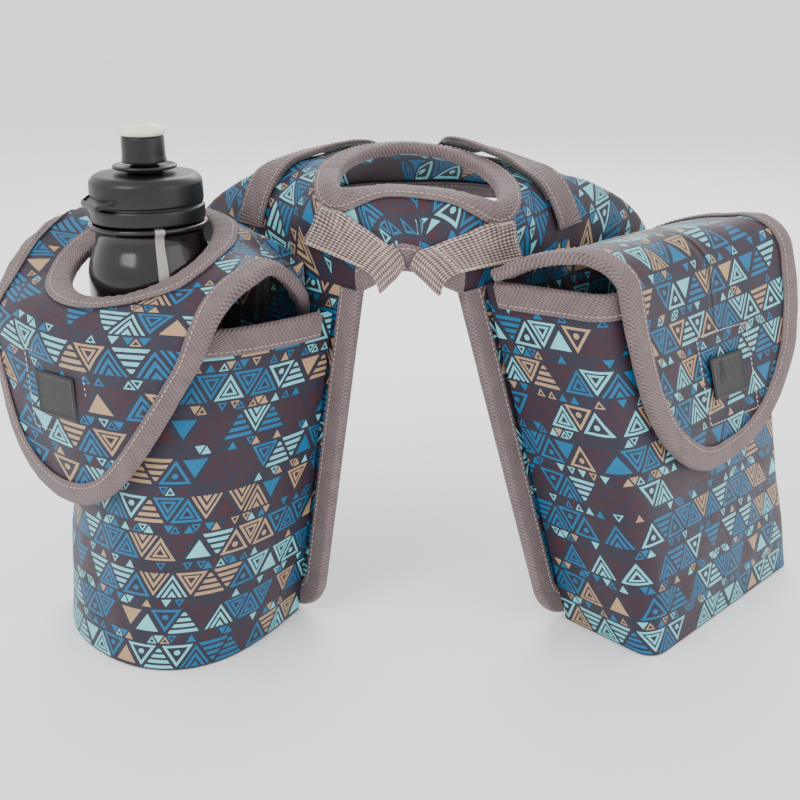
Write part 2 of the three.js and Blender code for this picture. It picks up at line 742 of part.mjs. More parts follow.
// The point at a length d along the cloth at f
function onFlap(f, d) {
  const line = flapLine(f);
  let left = d;
  let j = 1;
  while (j < line.length - 1 && left > line[j].distanceTo(line[j - 1])) {
    left -= line[j].distanceTo(line[j - 1]);
    j++;
  }
  return mix3(line[j - 1], line[j], left / line[j].distanceTo(line[j - 1]));
}

// Length of the cloth at f from the hole to the flap's edge
function flapDepth(f) {
  const line = flapLine(f);
  const edge = flapEdgeHeight(f);
  let depth = 0;
  for (let j = 1; j < line.length && line[j - 1].z > edge; j++) {
    const share = Math.min(1, (line[j - 1].z - edge) / Math.max(line[j - 1].z - line[j].z, 1e-6));
    depth += share * line[j].distanceTo(line[j - 1]);
  }
  return Math.max(depth, 36 + 10 * archAt(f) + 10 * smooth((f - 0.6) / 0.08));
}

// The flap's edge as even stations of f and length, from its front end round the tip to its rear
function flapEdge() {
  const fine = steps(200).map((t) => mix(0.1, 0.9, t));
  const depth = fine.map(flapDepth);
  const points = fine.map((f, i) => onFlap(f, depth[i]));
  const run = [0];
  for (let i = 1; i < points.length; i++) run.push(run[i - 1] + points[i].distanceTo(points[i - 1]));
  let edge = steps(BOTTLE_FLAP_STEPS).map((s) => {
    const i = Math.max(1, run.findIndex((d) => d >= s * run.at(-1) - 1e-6));
    const t = (s * run.at(-1) - run[i - 1]) / (run[i] - run[i - 1]);
    return [mix(fine[i - 1], fine[i], t), mix(depth[i - 1], depth[i], t)];
  });
  const last = edge.length - 1;
  for (let pass = 0; pass < 2; pass++) {
    edge = edge.map((p, i) => {
      if (i === 0 || i === last) return p;
      return [0, 1].map((k) => (edge[i - 1][k] + 2 * p[k] + edge[i + 1][k]) / 4);
    });
  }
  return edge;
}

// Between the wall's front end and the panel the flap's edge arches over the pocket's mouth
const ARCH = [v3(-57, -36, 221), v3(-64, -47, 236), v3(-73, -60, 245)];

// Columns from the hole to the edge, where they meet the edge's tape squarely
function bottleFlapColumns() {
  const columns = [left.point(38, BOTTLE_ROOT_OFF + 2.6, 206), ...ARCH].map((foot) => {
    const hole = holeAt(foot);
    const turn = mix3(hole, foot, 0.6).setZ(Math.max(hole.z, foot.z) + 2);
    return resample(bow(hole, turn, foot), Infinity, 5, true);
  });
  const edge = flapEdge();
  edge.forEach(([f, d], i) => {
    const [fa, da] = edge[Math.max(i - 1, 0)];
    const [fb, db] = edge[Math.min(i + 1, BOTTLE_FLAP_STEPS)];
    const span = onFlap(f + 0.01, d).distanceTo(onFlap(f - 0.01, d)) / 0.02;
    const way = new THREE.Vector2((fb - fa) * span, db - da).normalize();
    const limit = [f + (TAPE_WIDTH * way.y) / span, d - TAPE_WIDTH * way.x];
    const start = mix(f, 0.5, 0.4 * Math.sin((Math.PI * i) / BOTTLE_FLAP_STEPS));
    const head = [mix(start, limit[0], TAPE_WIDTH / limit[1]), TAPE_WIDTH];
    const inner = steps(5).map((t) => onFlap(mix(head[0], limit[0], t), mix(head[1], limit[1], t)));
    columns.push([onFlap(start, 0), ...inner, onFlap(f, d)]);
  });
  for (let i = 0; i <= ROOT_STEPS; i++) {
    const e = mix(left.width(SEAM_HEIGHT) - 18, 46, i / ROOT_STEPS);
    const root = left.point(e, BOTTLE_ROOT_OFF, BOTTLE_FLAP_ROOT);
    const hole = holeAt(root);
    const turn = mix3(hole, root, 0.62).setZ(Math.max(hole.z, BOTTLE_FLAP_ROOT) + 3);
    columns.push(resample(bow(hole, turn, root), Infinity, 5, true));
  }
  return columns;
}

const flapColumns = bottleFlapColumns();
const flapRows = flapColumns[0].map((_, r) => flapColumns.map((column) => column[r]));
const flapNormals = gridNormals(flapRows, true);
place("bottle_flap", sheet(flapRows, flapNormals, FABRIC, true).geometry(), "print");
place(
  "bottle_hole_binding",
  holeBinding(flapRows, flapNormals, 2 * EDGE_ROOM).geometry(),
  "binding",
);
const flapEnd = flapRows.length - 1;
const wallSide = (row) => row.slice(0, ARCH.length + BOTTLE_FLAP_STEPS + 2);
place(
  "bottle_flap_binding",
  binding(
    wallSide(flapRows[flapEnd]),
    wallSide(flapRows[flapEnd - 1]),
    wallSide(flapNormals[flapEnd]),
    wallSide(flapNormals[flapEnd - 1]),
    false,
    3 * EDGE_ROOM,
  ).geometry(),
  "binding",
);

// Bottle
const ROUND = 28;
function turned(profile) {
  const g = new THREE.LatheGeometry(profile.map(([r, z]) => new THREE.Vector2(r, z)), ROUND);
  g.rotateX(Math.PI / 2);
  g.translate(BOTTLE_X, BOTTLE_Y, 0);
  return merged(g);
}
const foot = FLOOR + GAP;
const body = BOTTLE_RADIUS;
const grip = body - GRIP_DEPTH;
const flange = CAP_RADIUS + 2;
const collarHeight = 13; // the neck above its flange
place("bottle_body", turned([
  [0, foot + 3],
  [body - 14, foot + 3],
  [body - 11, foot],
  [body - 4, foot],
  [body, foot + 5],
  [body, BOTTLE_WAIST - 16],
  [grip, BOTTLE_WAIST - 8],
  [grip, BOTTLE_WAIST + 8],
  [body, BOTTLE_WAIST + 16],
  [body, BOTTLE_HEIGHT - 29],
  [body - 1.5, BOTTLE_HEIGHT - 22],
  [flange - 1, BOTTLE_HEIGHT - 17],
  [NECK_RADIUS + 2.6, BOTTLE_HEIGHT - 11],
  [NECK_RADIUS + 2.6, BOTTLE_HEIGHT - 4],
  [flange, BOTTLE_HEIGHT - 3],
  [flange, BOTTLE_HEIGHT],
  [NECK_RADIUS, BOTTLE_HEIGHT],
  [NECK_RADIUS, BOTTLE_HEIGHT + collarHeight],
  [NECK_RADIUS - BOTTLE_WALL - 1, BOTTLE_HEIGHT + collarHeight],
  [NECK_RADIUS - BOTTLE_WALL - 1, BOTTLE_HEIGHT - 15],
  [body - BOTTLE_WALL, BOTTLE_HEIGHT - 31],
  [body - BOTTLE_WALL, BOTTLE_WAIST + 18],
  [grip - BOTTLE_WALL, BOTTLE_WAIST + 9],
  [grip - BOTTLE_WALL, BOTTLE_WAIST - 9],
  [body - BOTTLE_WALL, BOTTLE_WAIST - 18],
  [body - BOTTLE_WALL, foot + 7],
  [body - 6, foot + 4.8],
  [0, foot + 4.8],
]), "bottle");

// The screw cap turns on the neck with room for its thread
const capBase = BOTTLE_HEIGHT + 0.6;
const capTop = capBase + CAP_HEIGHT;
const bore = NECK_RADIUS + 0.6;
const post = 8; // radius of the pin that the spout slides on
const neck = 10.4; // of the waist under the cap's collar
const collar = 19;
const sealSeat = BOTTLE_HEIGHT + collarHeight + 0.4;
const sealTop = sealSeat + 2;
const postTop = capTop + 20;
const capSolid = turned([
  [0, sealTop + 2.6],
  [post - 2, sealTop + 2.6],
  [post - 2, sealTop + 0.4],
  [bore, sealTop + 0.4],
  [bore, capBase],
  [CAP_RADIUS + 0.6, capBase],
  [CAP_RADIUS + 0.6, capBase + 8],
  [CAP_RADIUS - 1.4, capBase + 9.5],
  [CAP_RADIUS - 1.4, capBase + 12],
  [CAP_RADIUS, capBase + 13.5],
  [CAP_RADIUS, capTop - 5],
  [CAP_RADIUS - 1.4, capTop - 1.6],
  [CAP_RADIUS - 4.5, capTop],
  [neck, capTop + 0.6],
  [neck, capTop + 2.6],
  [collar - 1, capTop + 2.8],
  [collar, capTop + 3.9],
  [collar - 1, capTop + 5.2],
  [post, capTop + 5.6],
  [post, postTop],
  [0, postTop],
]);

// The lug on the cap's front left, a thin lip that slopes down to its outer edge
const LUG_THICK = 2.6;
function capLug() {
  const root = capBase + 17;
  const lip = root - 3.8;
  const wall = CAP_RADIUS - 1.8;
  const onWall = (degrees) => {
    const a = THREE.MathUtils.degToRad(degrees);
    return v3(wall * Math.cos(a), wall * Math.sin(a), root);
  };
  // The middle of its root first, then round its outline
  const outline = [onWall(-137), onWall(-110), v3(-21, -38.5, lip), v3(-35.5, -16, lip), onWall(-164)];
  const skin = new Skin();
  const over = outline.map((p) => skin.add(p.clone().add(v3(BOTTLE_X, BOTTLE_Y, 0))));
  const under = outline.map((p) => skin.add(p.clone().add(v3(BOTTLE_X, BOTTLE_Y, -LUG_THICK))));
  for (let i = 1; i < 4; i++) {
    skin.tri(over[0], over[i + 1], over[i]);
    skin.tri(under[0], under[i], under[i + 1]);
  }
  for (let i = 0; i < 5; i++) {
    const k = (i + 1) % 5;
    skin.quad(under[k], under[i], over[i], over[k]);
  }
  return skin.geometry();
}

function solidOf(geometry) {
  return new wasm.Manifold(
    new wasm.Mesh({
      numProp: 3,
      vertProperties: new Float32Array(geometry.attributes.position.array),
      triVerts: new Uint32Array(geometry.index.array),
    }),
  );
}

function geometryOf(solid) {
  const mesh = solid.getMesh();
  const count = mesh.vertProperties.length / mesh.numProp;
  const flat = new Float32Array(count * 3);
  for (let i = 0; i < count; i++) {
    for (let k = 0; k < 3; k++) flat[i * 3 + k] = mesh.vertProperties[i * mesh.numProp + k];
  }
  const g = new THREE.BufferGeometry();
  g.setAttribute("position", new THREE.BufferAttribute(flat, 3));
  g.setIndex(new THREE.BufferAttribute(mesh.triVerts, 1));
  return g;
}

place("bottle_cap", geometryOf(solidOf(capSolid).add(solidOf(capLug()))), "cap");

place("cap_seal", turned([
  [NECK_RADIUS - 5, sealSeat],
  [NECK_RADIUS - 0.4, sealSeat],
  [NECK_RADIUS - 0.4, sealTop],
  [NECK_RADIUS - 5, sealTop],
  [NECK_RADIUS - 5, sealSeat],
]), "seal");

// The spout: a sleeve that slides on the cap's post, and its soft tip
const sleeveBase = capTop + 6.4;
const sleeveTop = postTop + 1.2;
place("spout_sleeve", turned([
  [post + 0.4, sleeveBase],
  [SPOUT_RADIUS + 0.6, sleeveBase],
  [SPOUT_RADIUS, sleeveBase + 4],
  [SPOUT_RADIUS - 0.2, sleeveTop],
  [post + 0.4, sleeveTop],
  [post + 0.4, sleeveBase],
]), "cap");
place("spout_tip", turned([
  [TIP_HOLE - 1, sleeveTop + GAP],
  [SPOUT_RADIUS - 0.2, sleeveTop + GAP],
  [SPOUT_RADIUS + 1.2, sleeveTop + 2.6],
  [SPOUT_RADIUS, sleeveTop + 4.8],
  [SPOUT_RADIUS - 4, sleeveTop + 6.9],
  [TIP_HOLE + 0.8, sleeveTop + 7.6],
  [TIP_HOLE, sleeveTop + 7],
  [TIP_HOLE - 1, sleeveTop + 4],
  [TIP_HOLE - 1, sleeveTop + GAP],
]), "tip");

// Patches on the flaps: each is a plate that follows its surface
// A patch over part of a grid surface: at(i, j) gives the surface point, lift its height above it
function patch(at, size, lift, thickness) {
  const [m, n] = size;
  const rows = [];
  for (let i = 0; i <= m; i++) {
    const row = [];
    for (let j = 0; j <= n; j++) row.push(at(i / m, j / n));
    rows.push(row);
  }
  const normals = gridNormals(rows, false);
  const raised = rows.map((row, i) =>
    row.map((p, j) => p.clone().addScaledVector(normals[i][j], lift + thickness / 2)),
  );
  return sheet(raised, normals, thickness, false).geometry();
}

const rise = FABRIC / 2 + GAP;
function onLunchFlap(e, z) {
  return right.point(e, LUNCH_DEPTH + WALL_OFF + FLAP_PROUD + lunchFlare(e), z);
}

function facePatch(name, look, place3, size, lift, thickness) {
  place(name, patch(place3, size, lift, thickness), look);
}

const LABEL_WIDTH = 34;
const LABEL_HEIGHT = 27;
const HOOK_SIZE = 44;
facePatch(
  "lunch_flap_label",
  "label",
  (i, j) => onLunchFlap(mix(112, 112 + LABEL_WIDTH, i), mix(153, 153 + LABEL_HEIGHT, j)),
  [1, 1],
  rise,
  LABEL,
);
facePatch(
  "lunch_flap_hook_patch",
  "hook",
  (i, j) => onLunchFlap(mix(106, 106 + HOOK_SIZE, i), mix(136, 136 + HOOK_SIZE, j)),
  [1, 1],
  -rise - HOOK_TAPE,
  HOOK_TAPE,
);
const lunchWallAt = (e, z) => {
  const row = lunchOutline(z, 0);
  return right.point(e, row[10][1] + WALL_OFF, z);
};
facePatch(
  "lunch_pocket_loop_patch",
  "hook",
  (i, j) => lunchWallAt(mix(108, 108 + HOOK_SIZE + 8, i), mix(138, 138 + HOOK_SIZE + 8, j)),
  [1, 1],
  rise,
  HOOK_TAPE,
);

const bottleWall = (z) => bottleOutline(z, 0).map(([e, n]) => left.point(e, n + WALL_OFF, z));
facePatch(
  "bottle_flap_label",
  "label",
  (i, j) => ringAt(flapRing(mix(160, 160 + LABEL_HEIGHT, j)), mix(0.44, 0.56, i)),
  [3, 1],
  rise + 0.6,
  LABEL,
);
facePatch(
  "bottle_flap_hook_patch",
  "hook",
  (i, j) => ringAt(flapRing(mix(146, 146 + HOOK_SIZE, j)), mix(0.42, 0.56, i)),
  [4, 1],
  -rise - 0.6 - HOOK_TAPE,
  HOOK_TAPE,
);
facePatch(
  "bottle_pocket_loop_patch",
  "hook",
  (i, j) => ringAt(bottleWall(mix(143, 143 + HOOK_SIZE + 6, j)), mix(0.41, 0.59, i)),
  [4, 1],
  rise + 0.6,
  HOOK_TAPE,
);

// Side pocket of mesh on the lunch pocket's rear gusset: it bellies out at its mouth
const MESH = 1.2;
const MESH_LOW = 24;
const MESH_HIGH = 150;
function gussetAt(f, z, stand) {
  const row = lunchOutline(z, 0);
  const from = row.at(-4);
  const to = row.at(-1);
  const n = mix(from[1], to[1], f);
  return right.point(mix(from[0], to[0], f) + stand, n + WALL_OFF, z);
}
const MESH_STAND = FABRIC / 2 + GAP + MESH / 2;
function meshAt(i, j) {
  const belly = 12 * Math.sin(Math.PI * i) * Math.sin((Math.PI / 2) * j);
  return gussetAt(mix(0.04, 0.86, i), mix(MESH_LOW, MESH_HIGH, j), MESH_STAND + 0.6 + belly);
}
const meshRows = steps(8).map((j) => steps(8).map((i) => meshAt(i, j)));
const meshNormals = gridNormals(meshRows, false);
place("side_mesh_pocket", sheet(meshRows, meshNormals, MESH, false).geometry(), "mesh");
const rim = meshRows.at(-1).map((p) => p.clone().setZ(p.z + 3.4));
const rimFoot = meshRows.at(-1).map((p) => p.clone().setZ(p.z + 0.4));
const rimNormals = gridNormals([rimFoot, rim], false);
place("side_mesh_binding", sheet([rimFoot, rim], rimNormals, 2, false).geometry(), "binding");

// Webbing that lies over the yoke
const under = group.children.filter((m) => /^(yoke_panel|throat|yoke_rear|horn)/.test(m.name));
const ray = new THREE.Raycaster();
function drape(x, y) {
  ray.set(v3(x, y, 400), v3(0, 0, -1));
  const hits = ray.intersectObjects(under);
  return hits.length ? hits[0].point.z : -Infinity;
}

// Faces that webbing must stay clear of
const faces = under.flatMap((mesh) => {
  const g = mesh.geometry;
  const at = (i) => new THREE.Vector3().fromBufferAttribute(g.attributes.position, g.index.array[i]);
  return Array.from({ length: g.index.count / 3 }, (_, i) => {
    return new THREE.Triangle(at(3 * i), at(3 * i + 1), at(3 * i + 2));
  });
});

// Settles a point from outside the faces to a given distance from them
function settle(p, distance) {
  const near = v3(0, 0, 0);
  let best = Infinity;
  const closest = v3(0, 0, 0);
  for (const face of faces) {
    face.closestPointToPoint(p, near);
    const d = near.distanceTo(p);
    if (d < best) {
      best = d;
      closest.copy(near);
    }
  }
  return closest.addScaledVector(p.clone().sub(closest).normalize(), distance);
}

// A strip given by its middle line in plan, settled over the yoke at a height above it
function strip(middle, width, lift, columns) {
  return middle.map((p, i) => {
    const a = middle[Math.max(i - 1, 0)];
    const b = middle[Math.min(i + 1, middle.length - 1)];
    const across = new THREE.Vector2(b.y - a.y, a.x - b.x).normalize();
    const t = i / (middle.length - 1);
    return steps(columns).map((f) => {
      const o = (f - 0.5) * width;
      const q = v3(p.x + across.x * o, p.y + across.y * o, 0);
      q.setZ(Math.max(drape(q.x, q.y), 240) + 14);
      return settle(q, lift(t));
    });
  });
}

const TAB_CLEAR = WEBBING / 2 + 1.9;
const TAIL_AHEAD = 6; // how far the tab's front end stands ahead of its last settled row
const TAIL_DROP = 5; // and how far it hangs below it
const FRONT_OUT = v3(0, -0.95, 0.3); // the way out of the yoke at the throat
const SIDE_OUT = [0.72, -0.68, 0.12]; // and at the tab's outer end
function tab(name, hand, near, far) {
  // near and far are the tab's ends, each from its throat side to its outer side
  const side = v3(hand * SIDE_OUT[0], SIDE_OUT[1], SIDE_OUT[2]);
  const rows = steps(9).map((t) =>
    steps(5).map((f) => {
      const p = mix3(mix3(near[0], near[1], f), mix3(far[0], far[1], f), t);
      return settle(p.addScaledVector(mix3(FRONT_OUT, side, t), 14), TAB_CLEAR);
    }),
  );
  const ahead = mix3(near[0], near[1], 0.5).sub(mix3(far[0], far[1], 0.5)).setZ(0).normalize();
  const tail = (row, on, down) =>
    row.map((p) => settle(p.clone().addScaledVector(ahead, on).add(v3(0, 0, -down)), TAB_CLEAR));
  rows.unshift(tail(rows[0], 6, 4));
  rows.unshift(rows[0].map((p) => v3(p.x, p.y - TAIL_AHEAD, p.z - TAIL_DROP)));
  const normals = gridNormals(rows, false);
  place(name, sheet(rows, normals, WEBBING, false).geometry(), "webbing");
}
tab("left_webbing_tab", -1, [v3(-4, -62, 257), v3(-22, -55, 239)], [v3(-44, -24, 276), v3(-58, -14, 249)]);
tab("right_webbing_tab", 1, [v3(13, -62, 257), v3(32, -57, 238)], [v3(64, -22, 266), v3(73, -14, 238)]);

const STRAP_BOW = 1.5;
// A strap bows up between its ends, where it comes down to its seat on the yoke
function tieDown(prefix, seat, from, over, to) {
  const curve = new THREE.QuadraticBezierCurve(from, over, to);
  const middle = curve.getPoints(9);
  const lift = (t) => seat + STRAP_BOW * Math.sin(Math.PI * t);
  const rows = strip(middle, STRAP_WIDTH, lift, 2);
  place(prefix + "_tie_strap", sheet(rows, gridNormals(rows, false), STRAP, false).geometry(), "webbing");
  const normals = gridNormals(rows, false);
  const drop = (STRAP + HOOK_TAPE) / 2 + GAP;
  const under = rows.slice(1, -1).map((row, i) =>
    row.map((p, j) => {
      const q = p.clone().addScaledVector(normals[i + 1][j], -drop * Math.sign(normals[i + 1][j].z));
      return q;
    }),
  );
  place(
    prefix + "_hook_tape",
    sheet(under, gridNormals(under, false), HOOK_TAPE, false).geometry(),
    "hook",
  );
}
tieDown("left", 3.8, new THREE.Vector2(-24, 94), new THREE.Vector2(-50, 58), new THREE.Vector2(-99, 22));
tieDown("right", 4.5, new THREE.Vector2(36, 94), new THREE.Vector2(56, 44), new THREE.Vector2(112, 20));

// The origin is the middle of the part in plan, on the plane of the pocket floors
const box = new THREE.Box3().setFromObject(group);
const centre = box.getCenter(v3(0, 0, 0));
group.position.set(-centre.x, -centre.y, 0);

export default group;
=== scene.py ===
import math

import bmesh
import bpy
import numpy as np
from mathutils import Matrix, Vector, noise
from mathutils.bvhtree import BVHTree


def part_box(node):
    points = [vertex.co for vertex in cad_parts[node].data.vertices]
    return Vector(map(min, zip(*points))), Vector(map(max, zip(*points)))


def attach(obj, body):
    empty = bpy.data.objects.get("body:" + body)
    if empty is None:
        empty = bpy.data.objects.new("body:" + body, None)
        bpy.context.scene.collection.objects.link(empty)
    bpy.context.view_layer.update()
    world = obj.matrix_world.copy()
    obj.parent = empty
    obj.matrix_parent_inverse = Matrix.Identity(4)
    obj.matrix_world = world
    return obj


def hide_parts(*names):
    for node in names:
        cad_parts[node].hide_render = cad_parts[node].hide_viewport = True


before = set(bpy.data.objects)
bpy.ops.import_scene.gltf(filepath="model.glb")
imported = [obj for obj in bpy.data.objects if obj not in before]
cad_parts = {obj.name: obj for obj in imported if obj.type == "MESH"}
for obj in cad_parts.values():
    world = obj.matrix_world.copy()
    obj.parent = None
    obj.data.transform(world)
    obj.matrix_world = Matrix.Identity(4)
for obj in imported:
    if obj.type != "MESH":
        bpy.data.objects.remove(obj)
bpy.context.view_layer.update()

# Sizes in millimetres, as in the frame
low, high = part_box("bottle_body")
BOTTLE = np.array([-149.0, -20.0])
SHIFT = np.array([(low[0] + high[0]) * 500 - BOTTLE[0], (low[1] + high[1]) * 500 - BOTTLE[1], 0.0])
FABRIC = 4.0
TAPE = 1.2
TAPE_WIDTH = 13.0
TAPE_ROWS = (0, 4.33, 8.67)
TAPE_ROOM = 0.7
WALL_OFF = FABRIC / 2 + TAPE + 1.1
PANEL_BOTTOM, SEAM_HEIGHT, PANEL_CORNER = 5.0, 228.0, 22.0
LUNCH_RIM, LUNCH_DEPTH, LUNCH_CORNER = 231.0, 71.0, 13.0
BOTTLE_RIM, BOTTLE_DEPTH = 212.0, 112.0
POCKET_INSET = 18.0
FLAP_PROUD, SHOULDER_PROUD = 8.0, 20.0
FLAP_FLARE, LUNCH_FLARE = 33.0, 12.0
LUNCH_FLAP_TOP, LUNCH_FLAP_TIP, BOTTLE_FLAP_TIP = 260.0, 103.0, 106.0
BOTTLE_HOLE = 44.0


def mix(a, b, t):
    return a + (b - a) * t


def clamp(x, a, b):
    return max(a, min(b, x))


def steps(n):
    return [i / n for i in range(n + 1)]


def v3(x, y, z):
    return np.array([x, y, z], float)


def unit(a):
    a = np.asarray(a, float)
    return a / np.maximum(np.linalg.norm(a, axis=-1, keepdims=True), 1e-9)


def wobble(p, size, seed=0.0):
    """Smooth noise from -1 to 1 at a point in mm, with features of that size."""
    return noise.noise(Vector((p[0] / size + seed, p[1] / size - seed, p[2] / size + 3.1 * seed)))


class Side:
    def __init__(self, hand, low, high, w_low, w_high):
        a = math.radians(45.7)
        self.u = v3(hand * math.cos(a), math.sin(a), 0)
        self.w = v3(hand * math.sin(a), -math.cos(a), 0)
        self.low, self.high, self.w_low, self.w_high = v3(*low, 0), v3(*high, 0), w_low, w_high

    def point(self, e, n, z):
        t = (z - PANEL_BOTTOM) / (SEAM_HEIGHT - PANEL_BOTTOM)
        p = mix(self.low, self.high, t) + self.u * e + self.w * n
        p[2] = z
        return p

    def width(self, z):
        return mix(self.w_low, self.w_high, (z - PANEL_BOTTOM) / (SEAM_HEIGHT - PANEL_BOTTOM))


left = Side(-1, (-54, -27), (-24, -46), 160, 175)
right = Side(1, (95, -38), (36.4, -49.2), 188, 200)


# Materials
def srgb(r, g, b):
    """A colour given in 0 to 255, as the linear one that a shader takes."""
    def linear(c):
        return c / 255 / 12.92 if c <= 10 else ((c / 255 + 0.055) / 1.055) ** 2.4

    return (linear(r), linear(g), linear(b), 1.0)


class Field:
    """A number that varies over the surface, as a node socket with arithmetic."""
    tree = None

    def __init__(self, socket):
        self.socket = socket

    @staticmethod
    def op(name, *args):
        node = Field.tree.nodes.new("ShaderNodeMath")
        node.operation = name
        for i, a in enumerate(args):
            if isinstance(a, Field):
                Field.tree.links.new(a.socket, node.inputs[i])
            else:
                node.inputs[i].default_value = a
        return Field(node.outputs[0])

    def pick(self, a, b):
        """a where this is 0, b where it is 1."""
        return self * b + (1 - self) * a


OPERATIONS = {
    "__add__": "ADD", "__sub__": "SUBTRACT", "__mul__": "MULTIPLY", "__truediv__": "DIVIDE",
    "floor": "FLOOR", "fract": "FRACT", "abs": "ABSOLUTE", "sin": "SINE",
    "over": "GREATER_THAN", "under": "LESS_THAN", "min": "MINIMUM", "max": "MAXIMUM",
}
for method, operation in OPERATIONS.items():
    setattr(Field, method, lambda self, *others, op=operation: Field.op(op, self, *others))
for method, operation in (("__radd__", "ADD"), ("__rsub__", "SUBTRACT"), ("__rmul__", "MULTIPLY")):
    setattr(Field, method, lambda self, other, op=operation: Field.op(op, other, self))


def new_material(name, color, roughness, **more):
    m = bpy.data.materials.new(name)
    m.use_nodes = True
    b = m.node_tree.nodes["Principled BSDF"]
    b.inputs["Base Color"].default_value = color
    b.inputs["Roughness"].default_value = roughness
    for k, v in more.items():
        b.inputs[k.replace("_", " ")].default_value = v
    Field.tree = m.node_tree
    return m, b


def cloth_uv():
    """u and v in millimetres."""
    n = Field.tree.nodes.new("ShaderNodeUVMap")
    n.uv_map = "cloth"
    s = Field.tree.nodes.new("ShaderNodeSeparateXYZ")
    Field.tree.links.new(n.outputs[0], s.inputs[0])
    return Field(s.outputs[0]) * 100, Field(s.outputs[1]) * 100


def color_of(a, b, factor):
    """Colour a where the factor is 0, b where it is 1; each is a colour or a socket."""
    n = Field.tree.nodes.new("ShaderNodeMix")
    n.data_type = "RGBA"
    Field.tree.links.new(factor.socket, n.inputs["Factor"])
    for key, c in ((6, a), (7, b)):
        if isinstance(c, tuple):
            n.inputs[key].default_value = c
        else:
            Field.tree.links.new(c, n.inputs[key])
    return n.outputs[2]


def bands(factor, stops):
    """The colour of the last stop that the factor has passed."""
    n = Field.tree.nodes.new("ShaderNodeValToRGB")
    r = n.color_ramp
    r.interpolation = "CONSTANT"
    while len(r.elements) < len(stops):
        r.elements.new(0.5)
    for e, (at, c) in zip(r.elements, stops):
        e.position = at
        e.color = c
    Field.tree.links.new(factor.socket, n.inputs[0])
    return n.outputs[0]


def speckle(scale, detail=2.0):
    """Noise from 0 to 1 in object space, with features of about that many mm."""
    c = Field.tree.nodes.new("ShaderNodeTexCoord")
    n = Field.tree.nodes.new("ShaderNodeTexNoise")
    n.inputs["Scale"].default_value = 1000 / scale
    n.inputs["Detail"].default_value = detail
    Field.tree.links.new(c.outputs["Object"], n.inputs["Vector"])
    return Field(n.outputs[0])


def chance(x, y, z, seed):
    """(random number, second random number) for a cell."""
    c = Field.tree.nodes.new("ShaderNodeCombineXYZ")
    for i, a in enumerate((x, y, z)):
        Field.tree.links.new(a.socket, c.inputs[i])
    w = Field.tree.nodes.new("ShaderNodeTexWhiteNoise")
    w.noise_dimensions = "4D"
    w.inputs["W"].default_value = seed
    Field.tree.links.new(c.outputs[0], w.inputs["Vector"])
    s = Field.tree.nodes.new("ShaderNodeSeparateColor")
    Field.tree.links.new(w.outputs["Color"], s.inputs[0])
    return Field(w.outputs["Value"]), Field(s.outputs[1])


def bump(shader, height, strength, distance=0.001):
    n = Field.tree.nodes.new("ShaderNodeBump")
    n.inputs["Strength"].default_value = strength
    n.inputs["Distance"].default_value = distance
    Field.tree.links.new(height.socket, n.inputs["Height"])
    Field.tree.links.new(n.outputs[0], shader.inputs["Normal"])


def drive(shader, key, value):
    """Links a field or a colour socket to one of the shader's inputs."""
    Field.tree.links.new(getattr(value, "socket", value), shader.inputs[key])


TAU = 2 * math.pi
GROUND = srgb(44, 41, 56)
PALETTE = [
    (0.0, srgb(66, 34, 42)),
    (0.24, srgb(0, 104, 150)),
    (0.6, srgb(118, 208, 218)),
    (0.84, srgb(180, 148, 112)),
]


def lattice(x, t):
    """The cell and the three distances to the sides, in a row of triangles of height 1 and base 1."""
    a = x - t * 0.5
    i = a.floor()
    f = a - i
    s = (f + t).over(1.0)
    b1 = s.pick(f, 1 - f)
    b2 = s.pick(t, 1 - t)
    b3 = (1 - f - t).abs()
    return i, s, b1, b2, b3, b1.min(b2).min(b3)


def print_material(name, seed):
    m, b = new_material(name, GROUND, 0.5, Sheen_Weight=0.06, Sheen_Roughness=0.4, Specular_IOR_Level=0.28)
    u, v = cloth_uv()
    # Rows of large triangles with narrow rows of small ones between them
    tall, slim, wide = 18.0, 6.5, 21.5
    row = (v / (tall + slim)).floor()
    up = v - row * (tall + slim)
    is_slim = up.over(tall)

    x = (u + row * 7.9) / wide
    i, s, b1, b2, b3, m1 = lattice(x, up / tall)
    kind, tint = chance(i, row, s, seed)
    r2 = 0.0
    for side in (b1, b2, b3):
        r2 = (side - 0.3333) * (side - 0.3333) + r2
    body = m1.over(0.055)
    rings = (m1.under(0.135) + m1.over(0.19) * m1.under(0.26)).min(1.0)
    eye = (m1.under(0.14) + r2.under(0.014)).min(1.0)
    bars = ((b2 * 4.6 + 0.2).fract()).over(0.42)
    peaks = ((((b1 - b3).abs() + b2) * 3.1 + 0.1).fract()).over(0.44)
    dark = m1.over(0.12)
    motif = kind.over(0.86).pick(peaks, dark)
    for share, other in ((0.66, bars), (0.46, eye), (0.24, rings)):
        motif = kind.over(share).pick(other, motif)
    large = motif * body
    # Small row
    t2 = (up - tall) / slim
    j, s2, _, _, _, m2 = lattice((u - row * 3.3) / 7.6, t2)
    kind2, tint2 = chance(j, row, s2, seed + 3)
    small = m2.over(0.085) * kind2.over(0.45) * (1 - m2.over(0.2) * kind2.over(0.75))
    on = is_slim.pick(large, small)
    tone = is_slim.pick(tint, tint2)
    base = color_of(GROUND, bands(tone, PALETTE), on)
    # Threads: warp and weft, with a slow change of shade
    weave = (u * (TAU / 0.95)).sin() * (v * (TAU / 0.95)).sin()
    shade = color_of(base, srgb(16, 16, 24), (speckle(35) * 0.30 + weave * 0.05 + 0.02).max(0.0))
    drive(b, "Base Color", shade)
    drive(b, "Roughness", speckle(18) * 0.22 + on * 0.05 + 0.38)
    bump(b, weave * 0.5 + speckle(3, 3) * 0.6, 0.35, 0.0004)
    return m


